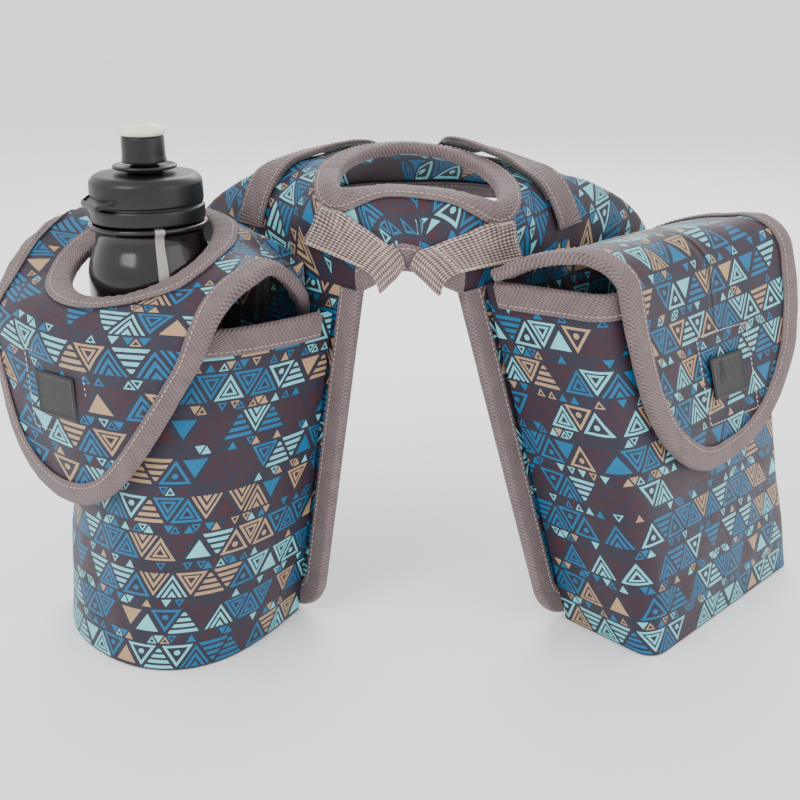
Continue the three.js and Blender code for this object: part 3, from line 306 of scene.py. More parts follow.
def tape_material(name, color, lift, angle, pitch, knot_highlight_strength=0.0):
    """Ribbed tape: ribs at an angle, with painted highlights on their crowns and painted shade in the
    grooves.
    """
    m, b = new_material(name, color, 0.72, Sheen_Weight=0.1, Specular_IOR_Level=0.3)
    u, v = cloth_uv()
    rib = ((u * math.cos(angle) + v * math.sin(angle)) * (TAU / pitch)).sin()
    cross = ((u * -math.sin(angle) + v * math.cos(angle)) * (TAU / (pitch * 1.4))).sin()
    # Painted highlights on the rib crowns and where the ribs cross, painted shade in the grooves; the speckle
    # adds a random tone
    knot_highlights = rib.max(0.0) * cross.max(0.0) * knot_highlight_strength
    tone = (rib * 0.25 + cross * 0.14 + knot_highlights + speckle(9) * 0.5 + (0.2 - knot_highlight_strength * 0.2)).max(0.0).min(1.0)
    dark = tuple(c * 0.55 for c in color[:3]) + (1.0,)
    drive(b, "Base Color", color_of(dark, lift, tone))
    drive(b, "Roughness", speckle(6) * 0.2 + 0.62)
    bump(b, rib * 0.6 + cross * 0.4, 0.6, 0.0005)
    return m


def speckled(name, dark, light, size, roughness, detail=2.0, **more):
    """A material whose colour drifts between two shades."""
    m, b = new_material(name, light, roughness, **more)
    drive(b, "Base Color", color_of(dark, light, speckle(size, detail)))
    return m, b


def plastic(name, dark, light, size, gloss, grain, **more):
    """gloss: the roughness's size, range and least value; grain: the bump's size, detail, strength, depth."""
    m, b = speckled(name, dark, light, size, gloss[2], **more)
    if gloss[1]:
        drive(b, "Roughness", speckle(gloss[0]) * gloss[1] + gloss[2])
    bump(b, speckle(*grain[:2]), *grain[2:])
    return m, b


PRINT = print_material("print_fabric", 1.0)
LINING, b = speckled("dark_lining", srgb(34, 32, 42), srgb(66, 62, 74), 12, 0.75, Sheen_Weight=0.2)
u, v = cloth_uv()
bump(b, (u * (TAU / 1.1)).sin() * (v * (TAU / 1.1)).sin(), 0.35, 0.0004)
BINDING = tape_material("binding_tape", srgb(102, 86, 88), srgb(134, 116, 116), math.radians(58), 1.5)
WEBBING = tape_material("heavy_webbing", srgb(96, 80, 80), srgb(206, 180, 168), math.radians(90), 2.6, 0.9)
STRAPPING = tape_material("strap_webbing", srgb(92, 78, 81), srgb(130, 112, 112), 0.0, 1.9)
THREAD, _ = speckled("thread", srgb(140, 122, 120), srgb(190, 170, 160), 1.2, 0.6, Sheen_Weight=0.3)
PALE_THREAD, _ = speckled("pale_thread", srgb(180, 170, 162), srgb(222, 214, 204), 1.2, 0.6, Sheen_Weight=0.3)
HOOK, b = speckled("hook_tape", srgb(16, 14, 14), srgb(62, 56, 52), 1.4, 0.95, 4, Sheen_Weight=0.6)
bump(b, speckle(1.0, 4), 0.9, 0.001)
RUBBER, b = new_material("label_rubber", srgb(20, 20, 22), 0.5)
drive(b, "Roughness", speckle(5) * 0.25 + 0.38)
bump(b, speckle(0.8, 3), 0.25, 0.0003)
BOTTLE_MAT, b = plastic(
    "smoke_plastic", srgb(8, 6, 7), srgb(24, 19, 19), 30, (14, 0.14, 0.14), (22, 2, 0.12, 0.002),
    Coat_Weight=0.25, Coat_Roughness=0.08, Specular_IOR_Level=0.35,
)
# A painted highlight: a pale vertical strip runs up the bottle's front right
u, v = cloth_uv()
painted_highlight_strip = (u - 187.0).abs().under(3.0)
smoke = b.inputs["Base Color"].links[0].from_socket
drive(b, "Base Color", color_of(smoke, srgb(150, 146, 142), painted_highlight_strip))
CAP_MAT, _ = plastic(
    "cap_plastic", srgb(8, 8, 9), srgb(22, 21, 23), 16, (8, 0.18, 0.26), (0.7, 3, 0.15, 0.0002),
    Specular_IOR_Level=0.4,
)
TIP_MAT, _ = plastic(
    "spout_tip_plastic", srgb(214, 204, 184), srgb(242, 238, 226), 7, (0, 0, 0.42), (0.9, 3, 0.12, 0.0002),
    Subsurface_Weight=0.1,
)
SEAL_MAT, _ = plastic(
    "seal_rubber", srgb(196, 190, 178), srgb(224, 220, 210), 5, (0, 0, 0.6), (0.9, 3, 0.2, 0.0002)
)

# Mesh of round holes in staggered rows
MESH_MAT, b = speckled("pocket_mesh", srgb(16, 16, 18), srgb(44, 43, 46), 4, 0.7)
u, v = cloth_uv()
cell = 2.6
a = (u / cell + (v / (cell * 0.87)).floor() * 0.5).fract() - 0.5
c = (v / (cell * 0.87)).fract() - 0.5
hole = (a * a + c * c).under(0.085)
drive(b, "Alpha", (1 - hole) * 0.88 + 0.12)
bump(b, (a * a + c * c) * -1.0, 0.5, 0.0006)


# Mesh building
class Shell:
    def __init__(self):
        self.v, self.uv, self.f, self.m = [], [], [], []
        self.count = 0

    def add(self, points, uv):
        points = np.asarray(points, float)
        shape = points.shape[:-1]
        n = int(np.prod(shape))
        self.v.append(points.reshape(-1, 3))
        self.uv.append(np.asarray(uv, float).reshape(-1, 2))
        ids = np.arange(self.count, self.count + n).reshape(shape)
        self.count += n
        return ids

    def faces(self, ids, mat=0, flip=False, closed=False):
        """Quads over a grid of vertex numbers."""
        a, b = ids[:-1], ids[1:]
        c = np.roll(a, -1, 1) if closed else a[:, 1:]
        d = np.roll(b, -1, 1) if closed else b[:, 1:]
        if not closed:
            a, b = a[:, :-1], b[:, :-1]
        q = np.stack([a, b, d, c] if not flip else [a, c, d, b], -1).reshape(-1, 4)
        self.f.extend(map(tuple, q.tolist()))
        self.m.extend([mat] * len(q))

    def slab(self, top, low, low_mat=0, closed=False):
        """Faces over two grids of vertex numbers and round their borders."""
        self.faces(top, 0, closed=closed)
        self.faces(low, low_mat, flip=True, closed=closed)
        for a, b in ((top[0], low[0]), (low[-1], top[-1])):
            self.faces(np.stack([a, b]), 0, flip=True, closed=closed)
        if not closed:
            for a, b in ((top[:, 0], low[:, 0]), (low[:, -1], top[:, -1])):
                self.faces(np.stack([a, b]), 0)

    def build(self, name, mats, nodes=(), body="root", weld=False, sharp=None):
        v = (np.concatenate(self.v) + SHIFT) / 1000
        me = bpy.data.meshes.new(name)
        me.from_pydata(v.tolist(), [], self.f)
        layer = me.uv_layers.new(name="cloth")
        uv = np.concatenate(self.uv) / 100
        loop = np.empty(len(me.loops), int)
        me.loops.foreach_get("vertex_index", loop)
        layer.data.foreach_set("uv", uv[loop].ravel())
        for m in mats:
            me.materials.append(m)
        me.polygons.foreach_set("material_index", self.m)
        bm = bmesh.new()
        bm.from_mesh(me)
        if weld:
            bmesh.ops.remove_doubles(bm, verts=bm.verts, dist=2e-5)
        bmesh.ops.recalc_face_normals(bm, faces=bm.faces)
        if sharp:
            for e in bm.edges:
                e.smooth = not (len(e.link_faces) == 2 and e.calc_face_angle() > math.radians(sharp))
        bm.to_mesh(me)
        bm.free()
        me.polygons.foreach_set("use_smooth", [True] * len(me.polygons))
        o = bpy.data.objects.new(name, me)
        bpy.context.scene.collection.objects.link(o)
        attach(o, body)
        if nodes:
            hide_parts(*nodes)
        return o


def normals_of(g, closed=False):
    if closed:
        wide = np.concatenate([g[:, -1:], g, g[:, :1]], 1)
        along = (wide[:, 2:] - wide[:, :-2])
    else:
        along = np.gradient(g, axis=1)
    across = np.gradient(g, axis=0)
    return unit(np.cross(across, along))


def sheet(name, g, uv, n, mats, closed=False, thick=FABRIC, weld=False):
    """A sheet of fabric about the grid g, n pointing out: out side material 0, in side material 1."""
    s = Shell()
    top = s.add(g + n * (thick / 2), uv)
    low = s.add(g - n * (thick / 2), uv)
    s.slab(top, low, 1, closed)
    s.build(name, mats, [name], weld=weld, sharp=60)


def lengths(line):
    """The way along a line up to each of its points."""
    d = np.linalg.norm(np.diff(line, axis=0), axis=1)
    return np.concatenate([[0], np.cumsum(d)])


def along_line(line, stops):
    """Points at those lengths along a line."""
    line = np.asarray(line)
    d = lengths(line)
    return np.array([[np.interp(s, d, line[:, k]) for k in range(3)] for s in stops])


def cut(line, count):
    """A line as rows: the tape at its start, the cloth and the tape at its end."""
    line = np.array(line)
    total = lengths(line)[-1]
    stops = list(TAPE_ROWS) + [TAPE_WIDTH + (total - 2 * TAPE_WIDTH) * t for t in steps(count)]
    return along_line(line, stops + [total - row for row in reversed(TAPE_ROWS)])


def cloth_rows(spine, limit, edge, count):
    """Rows from the spine to the tape's inner border, then over the tape to the edge."""
    thirds = [mix(limit, edge, t) for t in (1 / 3, 2 / 3, 1)]
    return np.array([mix(spine, limit, t) for t in steps(count)] + thirds)


def upward(g, row):
    """The normals of a closed grid, turned so that the given row's point up."""
    n = normals_of(g, True)
    return -n if n[row, 0, 2] < 0 else n


def tape(name, rows, normals, closed=False, pucker=0.25, seed=0.0):
    """Binding folded round an edge. rows run over its width, from its inner border to the sheet's edge."""
    rows, normals = np.asarray(rows), np.asarray(normals)
    if closed:
        rows = np.concatenate([rows, rows[:, :1]], 1)
        normals = np.concatenate([normals, normals[:, :1]], 1)
    k, n = rows.shape[:2]
    out = unit(rows[-1] - rows[-2])
    along = lengths(rows[-1])
    hold = FABRIC / 2 + TAPE_ROOM / 2 + 0.15
    face = hold + TAPE
    wave = np.array([
        pucker * (wobble(p, 7, seed) + 0.6 * math.sin(a * 0.9 + 3 * wobble(p, 25, seed)))
        for p, a in zip(rows[-1], along)
    ])
    section, at = [], []

    def ring(points, v):
        section.append(points)
        at.append(v)

    def crown(i):
        return face + 0.25 * math.sin(math.pi * i / (k - 1)) + (0.0 if i else -0.35)

    for i in range(k):
        ripple = wave * (0.4 + 0.6 * i / (k - 1))
        ring(rows[i] + normals[i] * (crown(i) + ripple)[:, None], TAPE_WIDTH * i / (k - 1))
    for a in (30, 60, 90, 120, 150):
        c, q = math.cos(math.radians(a)), math.sin(math.radians(a))
        reach = out * ((TAPE_ROOM + TAPE) * q + 0.3 * q + 0.4 * wave[:, None])
        ring(rows[-1] + reach + normals[-1] * (face * c), TAPE_WIDTH + 4 * a / 180)
    for i in range(k - 1, -1, -1):
        ripple = wave * (0.4 + 0.6 * i / (k - 1))
        ring(rows[i] - normals[i] * (crown(i) - ripple)[:, None], 30 - TAPE_WIDTH * i / (k - 1))
    # Back along the inside of the fold
    fold = rows[-1] + out * (TAPE_ROOM * 0.5)
    inner = [rows[0] - normals[0] * hold, fold - normals[-1] * hold]
    inner += [fold + normals[-1] * hold, rows[0] + normals[0] * hold]
    for p, v in zip(inner, (31, 44, 48, 61)):
        ring(p, v)
    g = np.stack(section + [section[0]], 0)
    uv = np.stack([np.tile(along, (len(g), 1)), np.repeat(np.array(at + [62.0])[:, None], n, 1)], -1)
    s = Shell()
    ids = s.add(g, uv)
    s.faces(ids, 0)
    if not closed:
        for c, flip in ((0, False), (-1, True)):
            loop = [int(i) for i in ids[:-1, c]]
            s.f.append(tuple(loop if flip else loop[::-1]))
            s.m.append(0)
    s.build(name, [BINDING], [name], weld=True, sharp=70)
    f = 0.22 * (k - 1)
    i = int(f)
    line = mix(rows[i], rows[i + 1], f - i)
    nn = unit(mix(normals[i], normals[i + 1], f - i))
    stitches(name + "_stitch", line + nn * (face + 0.15), nn)
    stitches(name + "_stitch_in", line - nn * (face + 0.15), -nn)


def stitches(name, line, normals, pitch=3.4, width=0.75, thread=THREAD, lift=0.0):
    """A row of stitches along a line on a surface."""
    line = np.asarray(line)
    d = lengths(line)
    count = int(d[-1] / pitch)
    half = 1.2
    verts, faces = [], []
    for c in range(count):
        s0 = (c + 0.5) * d[-1] / count
        a, b = along_line(line, [s0 - half, s0 + half])
        nn = unit(np.array([np.interp(s0, d, normals[:, k]) for k in range(3)]))
        t = unit(b - a)
        w = unit(np.cross(nn, t))
        base = len(verts)
        for f, size, h in ((0.0, 0.45, -0.15), (0.25, 1, 0.22), (0.75, 1, 0.22), (1.0, 0.45, -0.15)):
            p = mix(a, b, f) + nn * (h + lift)
            r = width / 2 * size
            for q in range(6):
                an = q * TAU / 6
                verts.append(p + w * (r * math.cos(an)) + nn * (r * 0.75 * math.sin(an)))
        for k in range(3):
            for q in range(6):
                i, j = base + 6 * k + q, base + 6 * k + (q + 1) % 6
                faces.append((i, j, j + 6, i + 6))
        faces.append(tuple(base + q for q in range(5, -1, -1)))
        faces.append(tuple(base + 18 + q for q in range(6)))
    s = Shell()
    v = np.array(verts)
    s.add(v, v[:, :2])
    s.f, s.m = faces, [0] * len(faces)
    s.build(name, [thread], ())


# Back panels
def panel(name, s):
    zt = SEAM_HEIGHT + 0.9

    def outline(inset):
        zb, r = PANEL_BOTTOM + inset, PANEL_CORNER - inset * 0.6
        half = [[inset, mix(zt, zb + r, t)] for t in steps(26)]
        for t in steps(8)[1:]:
            a = t * math.pi / 2
            half.append([inset + r * (1 - math.cos(a)), zb + r * (1 - math.sin(a))])
        start = half[-1][0]
        half += [[mix(start, s.width(zb) / 2, t), zb] for t in steps(14)[1:]]
        return np.array(half + [[s.width(z) - e, z] for e, z in half[:-1]][::-1])

    edge, limit = outline(0), outline(TAPE_WIDTH)
    foot = PANEL_BOTTOM + 60
    spine = np.array([[s.width(max(z, foot)) / 2, max(z, foot)] for _, z in limit])
    flat = cloth_rows(spine, limit, edge, 10)
    # The laminated panel is quilted by its seams, so its middle is a little proud
    g = np.array([[s.point(e, 0, z) for e, z in row] for row in flat])
    n0 = s.point(0, 0, PANEL_BOTTOM) - s.point(0, 0, SEAM_HEIGHT)
    n0 = unit(np.cross(s.u, n0))
    n0 = n0 * (1 if n0 @ s.w > 0 else -1)
    for r in range(g.shape[0]):
        for c in range(g.shape[1]):
            e, z = flat[r, c]
            k = clamp(min(e, s.width(z) - e, z - PANEL_BOTTOM) / 40, 0, 1)
            g[r, c] += n0 * (k * (0.7 * wobble(g[r, c], 38, 2.2) - 0.5))
    n = np.broadcast_to(n0, g.shape)
    uv = np.stack([flat[..., 0] * (1 if s is right else -1), flat[..., 1]], -1)
    sheet(name, g, uv, n, [PRINT, PRINT], weld=True)
    tape(name + "_binding", g[-4:], n[-4:], seed=4.0)


panel("left_back_panel", left)
panel("right_back_panel", right)


# Yoke
HOLE_X, HOLE_FRONT, HOLE_REAR, HOLE_HALF = 11.0, -30.0, 58.0, 49.0
THROAT = v3(3, -62, 246)


def yoke_height(x, y):
    dx, dy = x - HOLE_X, y - HOLE_REAR
    return 296 - 0.0035 * dx * dx - 0.0016 * dy * dy - 0.08 * dx


def catmull(points, t):
    pts = [np.asarray(p, float) for p in points]
    k = (len(pts) - 1) * t
    i = min(int(math.floor(k)), len(pts) - 2)
    w = k - i
    p1, p2 = pts[i], pts[i + 1]
    p0 = pts[i - 1] if i > 0 else 2 * pts[0] - pts[1]
    p3 = pts[i + 2] if i + 2 < len(pts) else 2 * pts[-1] - pts[-2]
    d0, d1, d2 = [max(np.sum((b - a) ** 2) ** 0.25, 1e-4) for a, b in ((p0, p1), (p1, p2), (p2, p3))]
    t1 = ((p1 - p0) / d0 - (p2 - p0) / (d0 + d1) + (p2 - p1) / d1) * d1
    t2 = ((p2 - p1) / d1 - (p3 - p1) / (d1 + d2) + (p3 - p2) / d2) * d1
    return p1 + t1 * w + (-3 * p1 + 3 * p2 - 2 * t1 - t2) * w * w + (2 * p1 - 2 * p2 + t1 + t2) * w ** 3


def seam(s, t):
    return s.point(s.width(SEAM_HEIGHT) * t, 0, SEAM_HEIGHT + 1.1)


THROAT_LINE = [seam(left, 0), v3(-12, -57, 238), THROAT, v3(21, -59, 238), seam(right, 0)]
REAR_LINE = [seam(right, 1), v3(118, 115, 251), v3(14, 122, 256), v3(-92, 103, 249), seam(left, 1)]
NT, NS, NR = 40, 36, 48


def hole_point(angle):
    c, s = math.cos(angle), math.sin(angle)
    power = 0.42 if s < 0 else 1.1
    middle = mix(HOLE_FRONT, HOLE_REAR, 0.36)
    x = HOLE_X + HOLE_HALF * math.copysign(abs(c) ** power, c)
    reach = middle - HOLE_FRONT if s < 0 else HOLE_REAR - middle
    y = middle + reach * math.copysign(abs(s) ** power, s)
    return v3(x, y, yoke_height(x, y))


def yoke_grid():
    edge = [catmull(THROAT_LINE, t) for t in steps(NT)[:-1]]
    edge += [seam(right, t) for t in steps(NS)[:-1]]
    edge += [catmull(REAR_LINE, t) for t in steps(NR)[:-1]]
    edge += [seam(left, 1 - t) for t in steps(NS)[:-1]]
    middle = mix(HOLE_FRONT, HOLE_REAR, 0.42)
    columns = []
    for i, p in enumerate(edge):
        h = hole_point(math.atan2(p[1] - middle, p[0] - HOLE_X))
        is_seam = NT <= i < NT + NS or i > NT + NS + NR
        drop = (h[2] - p[2]) / math.hypot(h[0] - p[0], h[1] - p[1])
        near = mix(0.5, 1.0, clamp((math.hypot(p[0] - THROAT[0], p[1] - THROAT[1]) - 20) / 20, 0, 1))
        k = (1 if is_seam else clamp(drop, 0.35, 1)) * near
        line = []
        for r in steps(60):
            a = r * math.pi / 2
            o, f = mix(r, math.sin(a), k), mix(r * r, 1 - math.cos(a), k)
            line.append([mix(h[0], p[0], o), mix(h[1], p[1], o), mix(h[2], p[2], f)])
        columns.append(cut(line, 14))
    g = np.stack(columns, 1)
    # Blend the fall of neighbouring columns so that no step shows
    for _ in range(3):
        g[1:-1] = (np.roll(g[1:-1], 1, 1) + 2 * g[1:-1] + np.roll(g[1:-1], -1, 1)) / 4
    return g


yoke = yoke_grid()
yn = upward(yoke, 1)
rows_n = yoke.shape[0]
for r in range(rows_n):
    for c in range(yoke.shape[1]):
        k = min(r, rows_n - 1 - r) / (rows_n / 2)
        p = yoke[r, c]
        d = (0.8 + 1.4 * k) * wobble(p, 34, 1.3) + 0.5 * wobble(p, 13, 5.0)
        yoke[r, c] = p + yn[r, c] * (d * min(1, k * 2.5))
yn = upward(yoke, 1)
yu = yoke[..., 0] - HOLE_X + np.sign(yoke[..., 0] - HOLE_X) * np.maximum(284 - yoke[..., 2], 0) * 0.8
yoke_uv = np.stack([yu, yoke[..., 1]], -1)
sheet("yoke_panel", yoke, yoke_uv, yn, [PRINT, PRINT], closed=True)
tape("horn_hole_binding", yoke[3::-1], yn[3::-1], closed=True, pucker=0.5, seed=1.0)


def edge_rows(g, n, a, b, count=4):
    c = np.arange(a, b + 1) % g.shape[1]
    return g[-count:][:, c], n[-count:][:, c]


tape("throat_binding", *edge_rows(yoke, yn, 1, NT - 1), pucker=0.4, seed=2.0)
rear_rows = edge_rows(yoke, yn, NT + NS + 4, NT + NS + NR - 4)
tape("yoke_rear_binding", *rear_rows, seed=3.0)


# Pockets
def bottle_outline(z, proud, count=72):
    t = clamp(z / BOTTLE_RIM, 0, 1.15)
    width = left.width(z)
    half = width / 2 - POCKET_INSET + proud
    depth = BOTTLE_DEPTH + mix(8, -2, t) + proud
    bulge, lead, power = mix(20, 3, t), mix(9, -4, t), 2 / mix(2.2, 2.5, t)
    out = []
    for f in steps(count):
        a = f * math.pi
        c = math.cos(a)
        rnd = half * math.copysign(abs(c) ** power, c)
        e = width / 2 - rnd - bulge * math.sin(2 * a) - lead * math.sin(a)
        out.append([e, depth * max(math.sin(a), 0) ** power])
    return np.array(out)


def lunch_outline(z, proud):
    t = z / LUNCH_RIM
    foot = v3(POCKET_INSET - proud, 0, 0)[:2]
    heel = v3(mix(188, 200, t) - POCKET_INSET + proud, 0, 0)[:2]
    n = mix(LUNCH_DEPTH - 4, LUNCH_DEPTH, t) + proud
    fore, aft = np.array([mix(15, 35, t) - proud, n]), np.array([mix(195, 215, t) + proud, n])

    def corner(a, at, b):
        p, q = unit(a - at), unit(b - at)
        reach = LUNCH_CORNER + proud
        return [at + p * ((1 - f) ** 2 * reach) + q * (f * f * reach) for f in steps(8)]

    def line(a, b, count):
        return [mix(a, b, f) for f in steps(count)[:-1]]

    one, two = corner(foot, fore, aft), corner(fore, aft, heel)
    fore_gusset = line(foot, one[0], 10) + one[:-1]
    face = line(one[-1], two[0], 24) + two[:-1]
    return np.array(fore_gusset + face + line(two[-1], heel, 10) + [heel])


def pocket(prefix, s, outline, rim, swell, seed):
    zs = [0, 3, 7, 13] + [mix(20, rim - TAPE_WIDTH, t) for t in steps(22)]
    zs += [rim - row for row in reversed(TAPE_ROWS)]
    g, uv = [], []
    for z in zs:
        o = outline(z, 0)
        g.append([s.point(e, n + WALL_OFF, z) for e, n in o])
        d = lengths(o)
        along = d - d[-1] / 2
        uv.append(np.stack([along * (1 if s is right else -1), np.full(len(d), z)], -1))
    g, uv = np.array(g), np.array(uv)
    middle = g.mean((0, 1))

    def outward():
        n = normals_of(g)
        r, c = 5, g.shape[1] // 2
        return -n if (g[r, c] - middle) @ n[r, c] < 0 else n

    n = outward()
    for r, z in enumerate(zs):
        for c in range(g.shape[1]):
            f = c / (g.shape[1] - 1)
            ends = clamp(min(f, 1 - f) / 0.08, 0, 1)
            level = clamp(min(z, rim - z) / 30, 0, 1)
            p = g[r, c]
            sag = (1.6 * wobble(p, 42, seed) + 0.5 * wobble(p, 15, seed + 2)) * (0.25 + 0.75 * level)
            d = swell(f) * level + sag
            g[r, c] = p + n[r, c] * d * ends
    n = outward()
    n[0, :, 2] = 0
    n[0] = unit(n[0])
    sheet(prefix + "_wall", g, uv, n, [PRINT, LINING])
    tape(prefix + "_top_binding", g[-4:, 1:-1], n[-4:, 1:-1], seed=seed)
    # Floor: a fan of rings inside the wall
    o = outline(2, -(FABRIC / 2 + 1.7))
    centre = o.mean(0)
    ring = [mix(centre, o, t) for t in (0.02, 0.25, 0.5, 0.75, 0.93, 1.0)]
    f = np.array([[s.point(e, m + WALL_OFF, 2) for e, m in row] for row in ring])
    rise = np.array([0.5, 0.45, 0.4, 0.3, 0.1, 0.0])[:, None]
    top, low = f.copy(), f.copy()
    top[..., 2] = 4.0 - rise * 0.2
    low[..., 2] = 0.05 + rise
    sh = Shell()
    fuv = f[..., :2]
    a, b = sh.add(top, fuv), sh.add(low, fuv)
    sh.faces(a, 1, closed=True)
    sh.faces(b, 0, flip=True, closed=True)
    sh.faces(np.stack([b[-1], a[-1]]), 0, closed=True)
    for ids, m, flip in ((a[0], 1, False), (b[0], 0, True)):
        loop = [int(i) for i in ids]
        sh.f.append(tuple(loop[::-1] if flip else loop))
        sh.m.append(m)
    sh.build(prefix + "_floor", [PRINT, LINING], [prefix + "_floor"], sharp=40)


def bottle_swell(f):
    return 1.2 * math.sin(math.pi * f)


def lunch_swell(f):
    """The main face and the gussets each crown a little between the upright seams."""
    for a, b, h in ((0.0, 0.24, 1.8), (0.27, 0.73, 4.0), (0.76, 1.0, 1.5)):
        if a <= f <= b:
            return h * math.sin(math.pi * (f - a) / (b - a)) ** 0.8
    return 0.0


pocket("bottle_pocket", left, bottle_outline, BOTTLE_RIM, bottle_swell, 6.0)
pocket("lunch_pocket", right, lunch_outline, LUNCH_RIM, lunch_swell, 7.0)


# Lunch flap
LUNCH_FLAP_ROOT = 14.0
LUNCH_FLAP_LENGTH = 47 + 29.7 + LUNCH_FLAP_TOP - 24 - LUNCH_FLAP_TIP
LUNCH_RIDGE, LUNCH_HALF = 80.0, 91.0


def lunch_flare(e):
    return LUNCH_FLARE * clamp((e - 90) / 120, 0, 1) ** 1.5


def lunch_flap_point(e, d):
    ridge, bend = LUNCH_DEPTH + WALL_OFF + FLAP_PROUD + lunch_flare(e), 18.0
    flat = math.hypot(ridge - LUNCH_FLAP_ROOT - bend, LUNCH_FLAP_TOP - 6 - SEAM_HEIGHT - 10)
    arc = bend * 1.65
    start, shoulder = (LUNCH_FLAP_ROOT, SEAM_HEIGHT + 10), (ridge - bend, LUNCH_FLAP_TOP - 6)
    if d <= flat:
        t = d / flat
        return mix(start[0], shoulder[0], t), mix(start[1], shoulder[1], t) + 3 * math.sin(t * math.pi)
    if d <= flat + arc:
        a = (d - flat) / arc * math.pi / 2
        return shoulder[0] + bend * math.sin(a), shoulder[1] - bend * (1 - math.cos(a))
    return ridge, shoulder[1] - bend - (d - flat - arc)


def lunch_middle(d):
    """The flap's middle leans to the rear up to the ridge and comes back to the front at the tip."""
    if d < LUNCH_RIDGE:
        return mix(106, 127, d / LUNCH_RIDGE)
    return mix(127, 106, ((d - LUNCH_RIDGE) / (LUNCH_FLAP_LENGTH - LUNCH_RIDGE)) ** 2)


def flap_root(t, inset):
    a = t * math.pi
    reach, straight = LUNCH_FLAP_LENGTH - inset, 100.0
    sweep = (a - math.pi * 0.22) / (math.pi * 0.56)
    if sweep <= 0:
        d = straight * (a / (math.pi * 0.22))
        x = -1.0
    elif sweep >= 1:
        d = straight * ((math.pi - a) / (math.pi * 0.22))
        x = 1.0
    else:
        c = math.cos(sweep * math.pi)
        d = straight + (reach - straight) * math.sin(sweep * math.pi) ** 0.9
        x = -math.copysign(abs(c) ** (1.1 if c > 0 else 0.68), c)
    half = LUNCH_HALF - inset - 6 * min(1, d / LUNCH_RIDGE)
    return lunch_middle(d) + half * x, d


def lunch_flap():
    count = 96
    edge = np.array([flap_root(t, 0) for t in steps(count)])
    limit = np.array([flap_root(t, TAPE_WIDTH) for t in steps(count)])
    spine = []
    for i in range(count + 1):
        d = min(i, count - i) / (count / 2) * (LUNCH_FLAP_LENGTH - 60)
        spine.append([lunch_middle(d), d])
    flat = cloth_rows(np.array(spine), limit, edge, 12)
    g = np.zeros(flat.shape[:2] + (3,))
    n = np.zeros_like(g)
    for r in range(g.shape[0]):
        for c in range(g.shape[1]):
            e, d = flat[r, c]
            m, z = lunch_flap_point(e, d)
            m2, z2 = lunch_flap_point(e, d + 0.5)
            m1, z1 = lunch_flap_point(e, d - 0.5)
            along = right.point(e, m2, z2) - right.point(e, m1, z1)
            p = right.point(e, m, z)
            nn = unit(np.cross(along, right.u))
            nn = nn * (1 if nn @ (right.w + v3(0, 0, 0.7)) > 0 else -1)
            k = clamp(r / 6, 0.2, 1)
            soft = clamp(d / 30, 0, 1)
            h = soft * (1.6 * wobble(p, 46, 8.0) + 0.5 * wobble(p, 16, 9.0)) * k
            h += 1.6 * soft * clamp((d - 90) / 60, 0, 1) * math.sin(e / 26.0)
            g[r, c] = p + nn * h
            n[r, c] = nn
    uv = np.stack([flat[..., 0] + 17, -flat[..., 1] + 5], -1)
    sheet("lunch_flap", g, uv, n, [PRINT, LINING], weld=True)
    tape("lunch_flap_binding", g[-4:], n[-4:], seed=8.0, pucker=0.35)


lunch_flap()


# Bottle flap
FLAP_HOLE = BOTTLE + np.array([-5.0, -1.0])
RINGS = 66
TIP_AT = 0.455
ARCH = [v3(-57, -36, 221), v3(-64, -47, 236), v3(-73, -60, 245)]


def smooth(t):
    t = clamp(t, 0, 1)
    return t * t * (3 - 2 * t)


def dome(x, y):
    return 244 + 0.24 * (x - BOTTLE[0]) + 0.33 * (y - BOTTLE[1])


def flap_stand(z):
    return mix(FLAP_PROUD, SHOULDER_PROUD, (z - BOTTLE_FLAP_TIP) / (BOTTLE_RIM - BOTTLE_FLAP_TIP))


def flap_edge(f):
    rise = ((TIP_AT - f) / 0.29) ** 1.3 if f < TIP_AT else ((f - TIP_AT) / 0.25) ** 3.4
    return BOTTLE_FLAP_TIP + 140 * min(1, rise)


def flap_ring(z):
    """The closed flap round the wall at height z, its rear edge flared to the left."""
    out = []
    for j, (e, n) in enumerate(bottle_outline(z, flap_stand(z), RINGS)):
        flare = FLAP_FLARE * math.exp(-((j / RINGS - 0.72) / 0.2) ** 2)
        out.append(left.point(e, n + WALL_OFF, z) + v3(-flare, -0.1 * flare, 0))
    return np.array(out)


def ring_at(ring, f):
    k = f * (len(ring) - 1)
    j = min(int(k), len(ring) - 2)
    return mix(ring[j], ring[j + 1], k - j)


def hole_at(p):
    a = math.atan2(p[1] - FLAP_HOLE[1], p[0] - FLAP_HOLE[0])
    x, y = FLAP_HOLE[0] + BOTTLE_HOLE * math.cos(a), FLAP_HOLE[1] + BOTTLE_HOLE * math.sin(a)
    return v3(x, y, dome(x, y))


def bow(a, turn, b):
    return [mix(mix(a, turn, t), mix(turn, b, t), t) for t in steps(24)]


RING_LOW, RING_HIGH = flap_ring(BOTTLE_FLAP_TIP), flap_ring(BOTTLE_RIM)
DEPTH = 180
FLAP_START, FLAP_END, FLAP_LINES = 0.08, 0.92, 168


def arch_at(f):
    return smooth((0.22 - f) / 0.1)


def flap_line(f):
    """The cloth at f: from the hole over the shoulder and down the wall."""
    top, foot = ring_at(RING_HIGH, f), ring_at(RING_LOW, f)
    rear = smooth((f - 0.66) / 0.2)
    crown = max(240 + 0.15 * (top[0] - BOTTLE[0]) + 0.35 * (top[1] - BOTTLE[1]), 227)
    crown += 13 * arch_at(f) + 12 * rear
    turn = v3(top[0], top[1], crown)
    shoulder = turn - v3(0, 0, 26 * (1 - 0.85 * max(arch_at(f), rear)))
    line = bow(hole_at(top), turn, shoulder)
    for t in steps(20)[1:]:
        z = mix(shoulder[2], BOTTLE_FLAP_TIP - 6, t)
        p = mix(top, foot, (BOTTLE_RIM - z) / (BOTTLE_RIM - BOTTLE_FLAP_TIP))
        line.append(v3(p[0], p[1], z))
    return np.array(line)


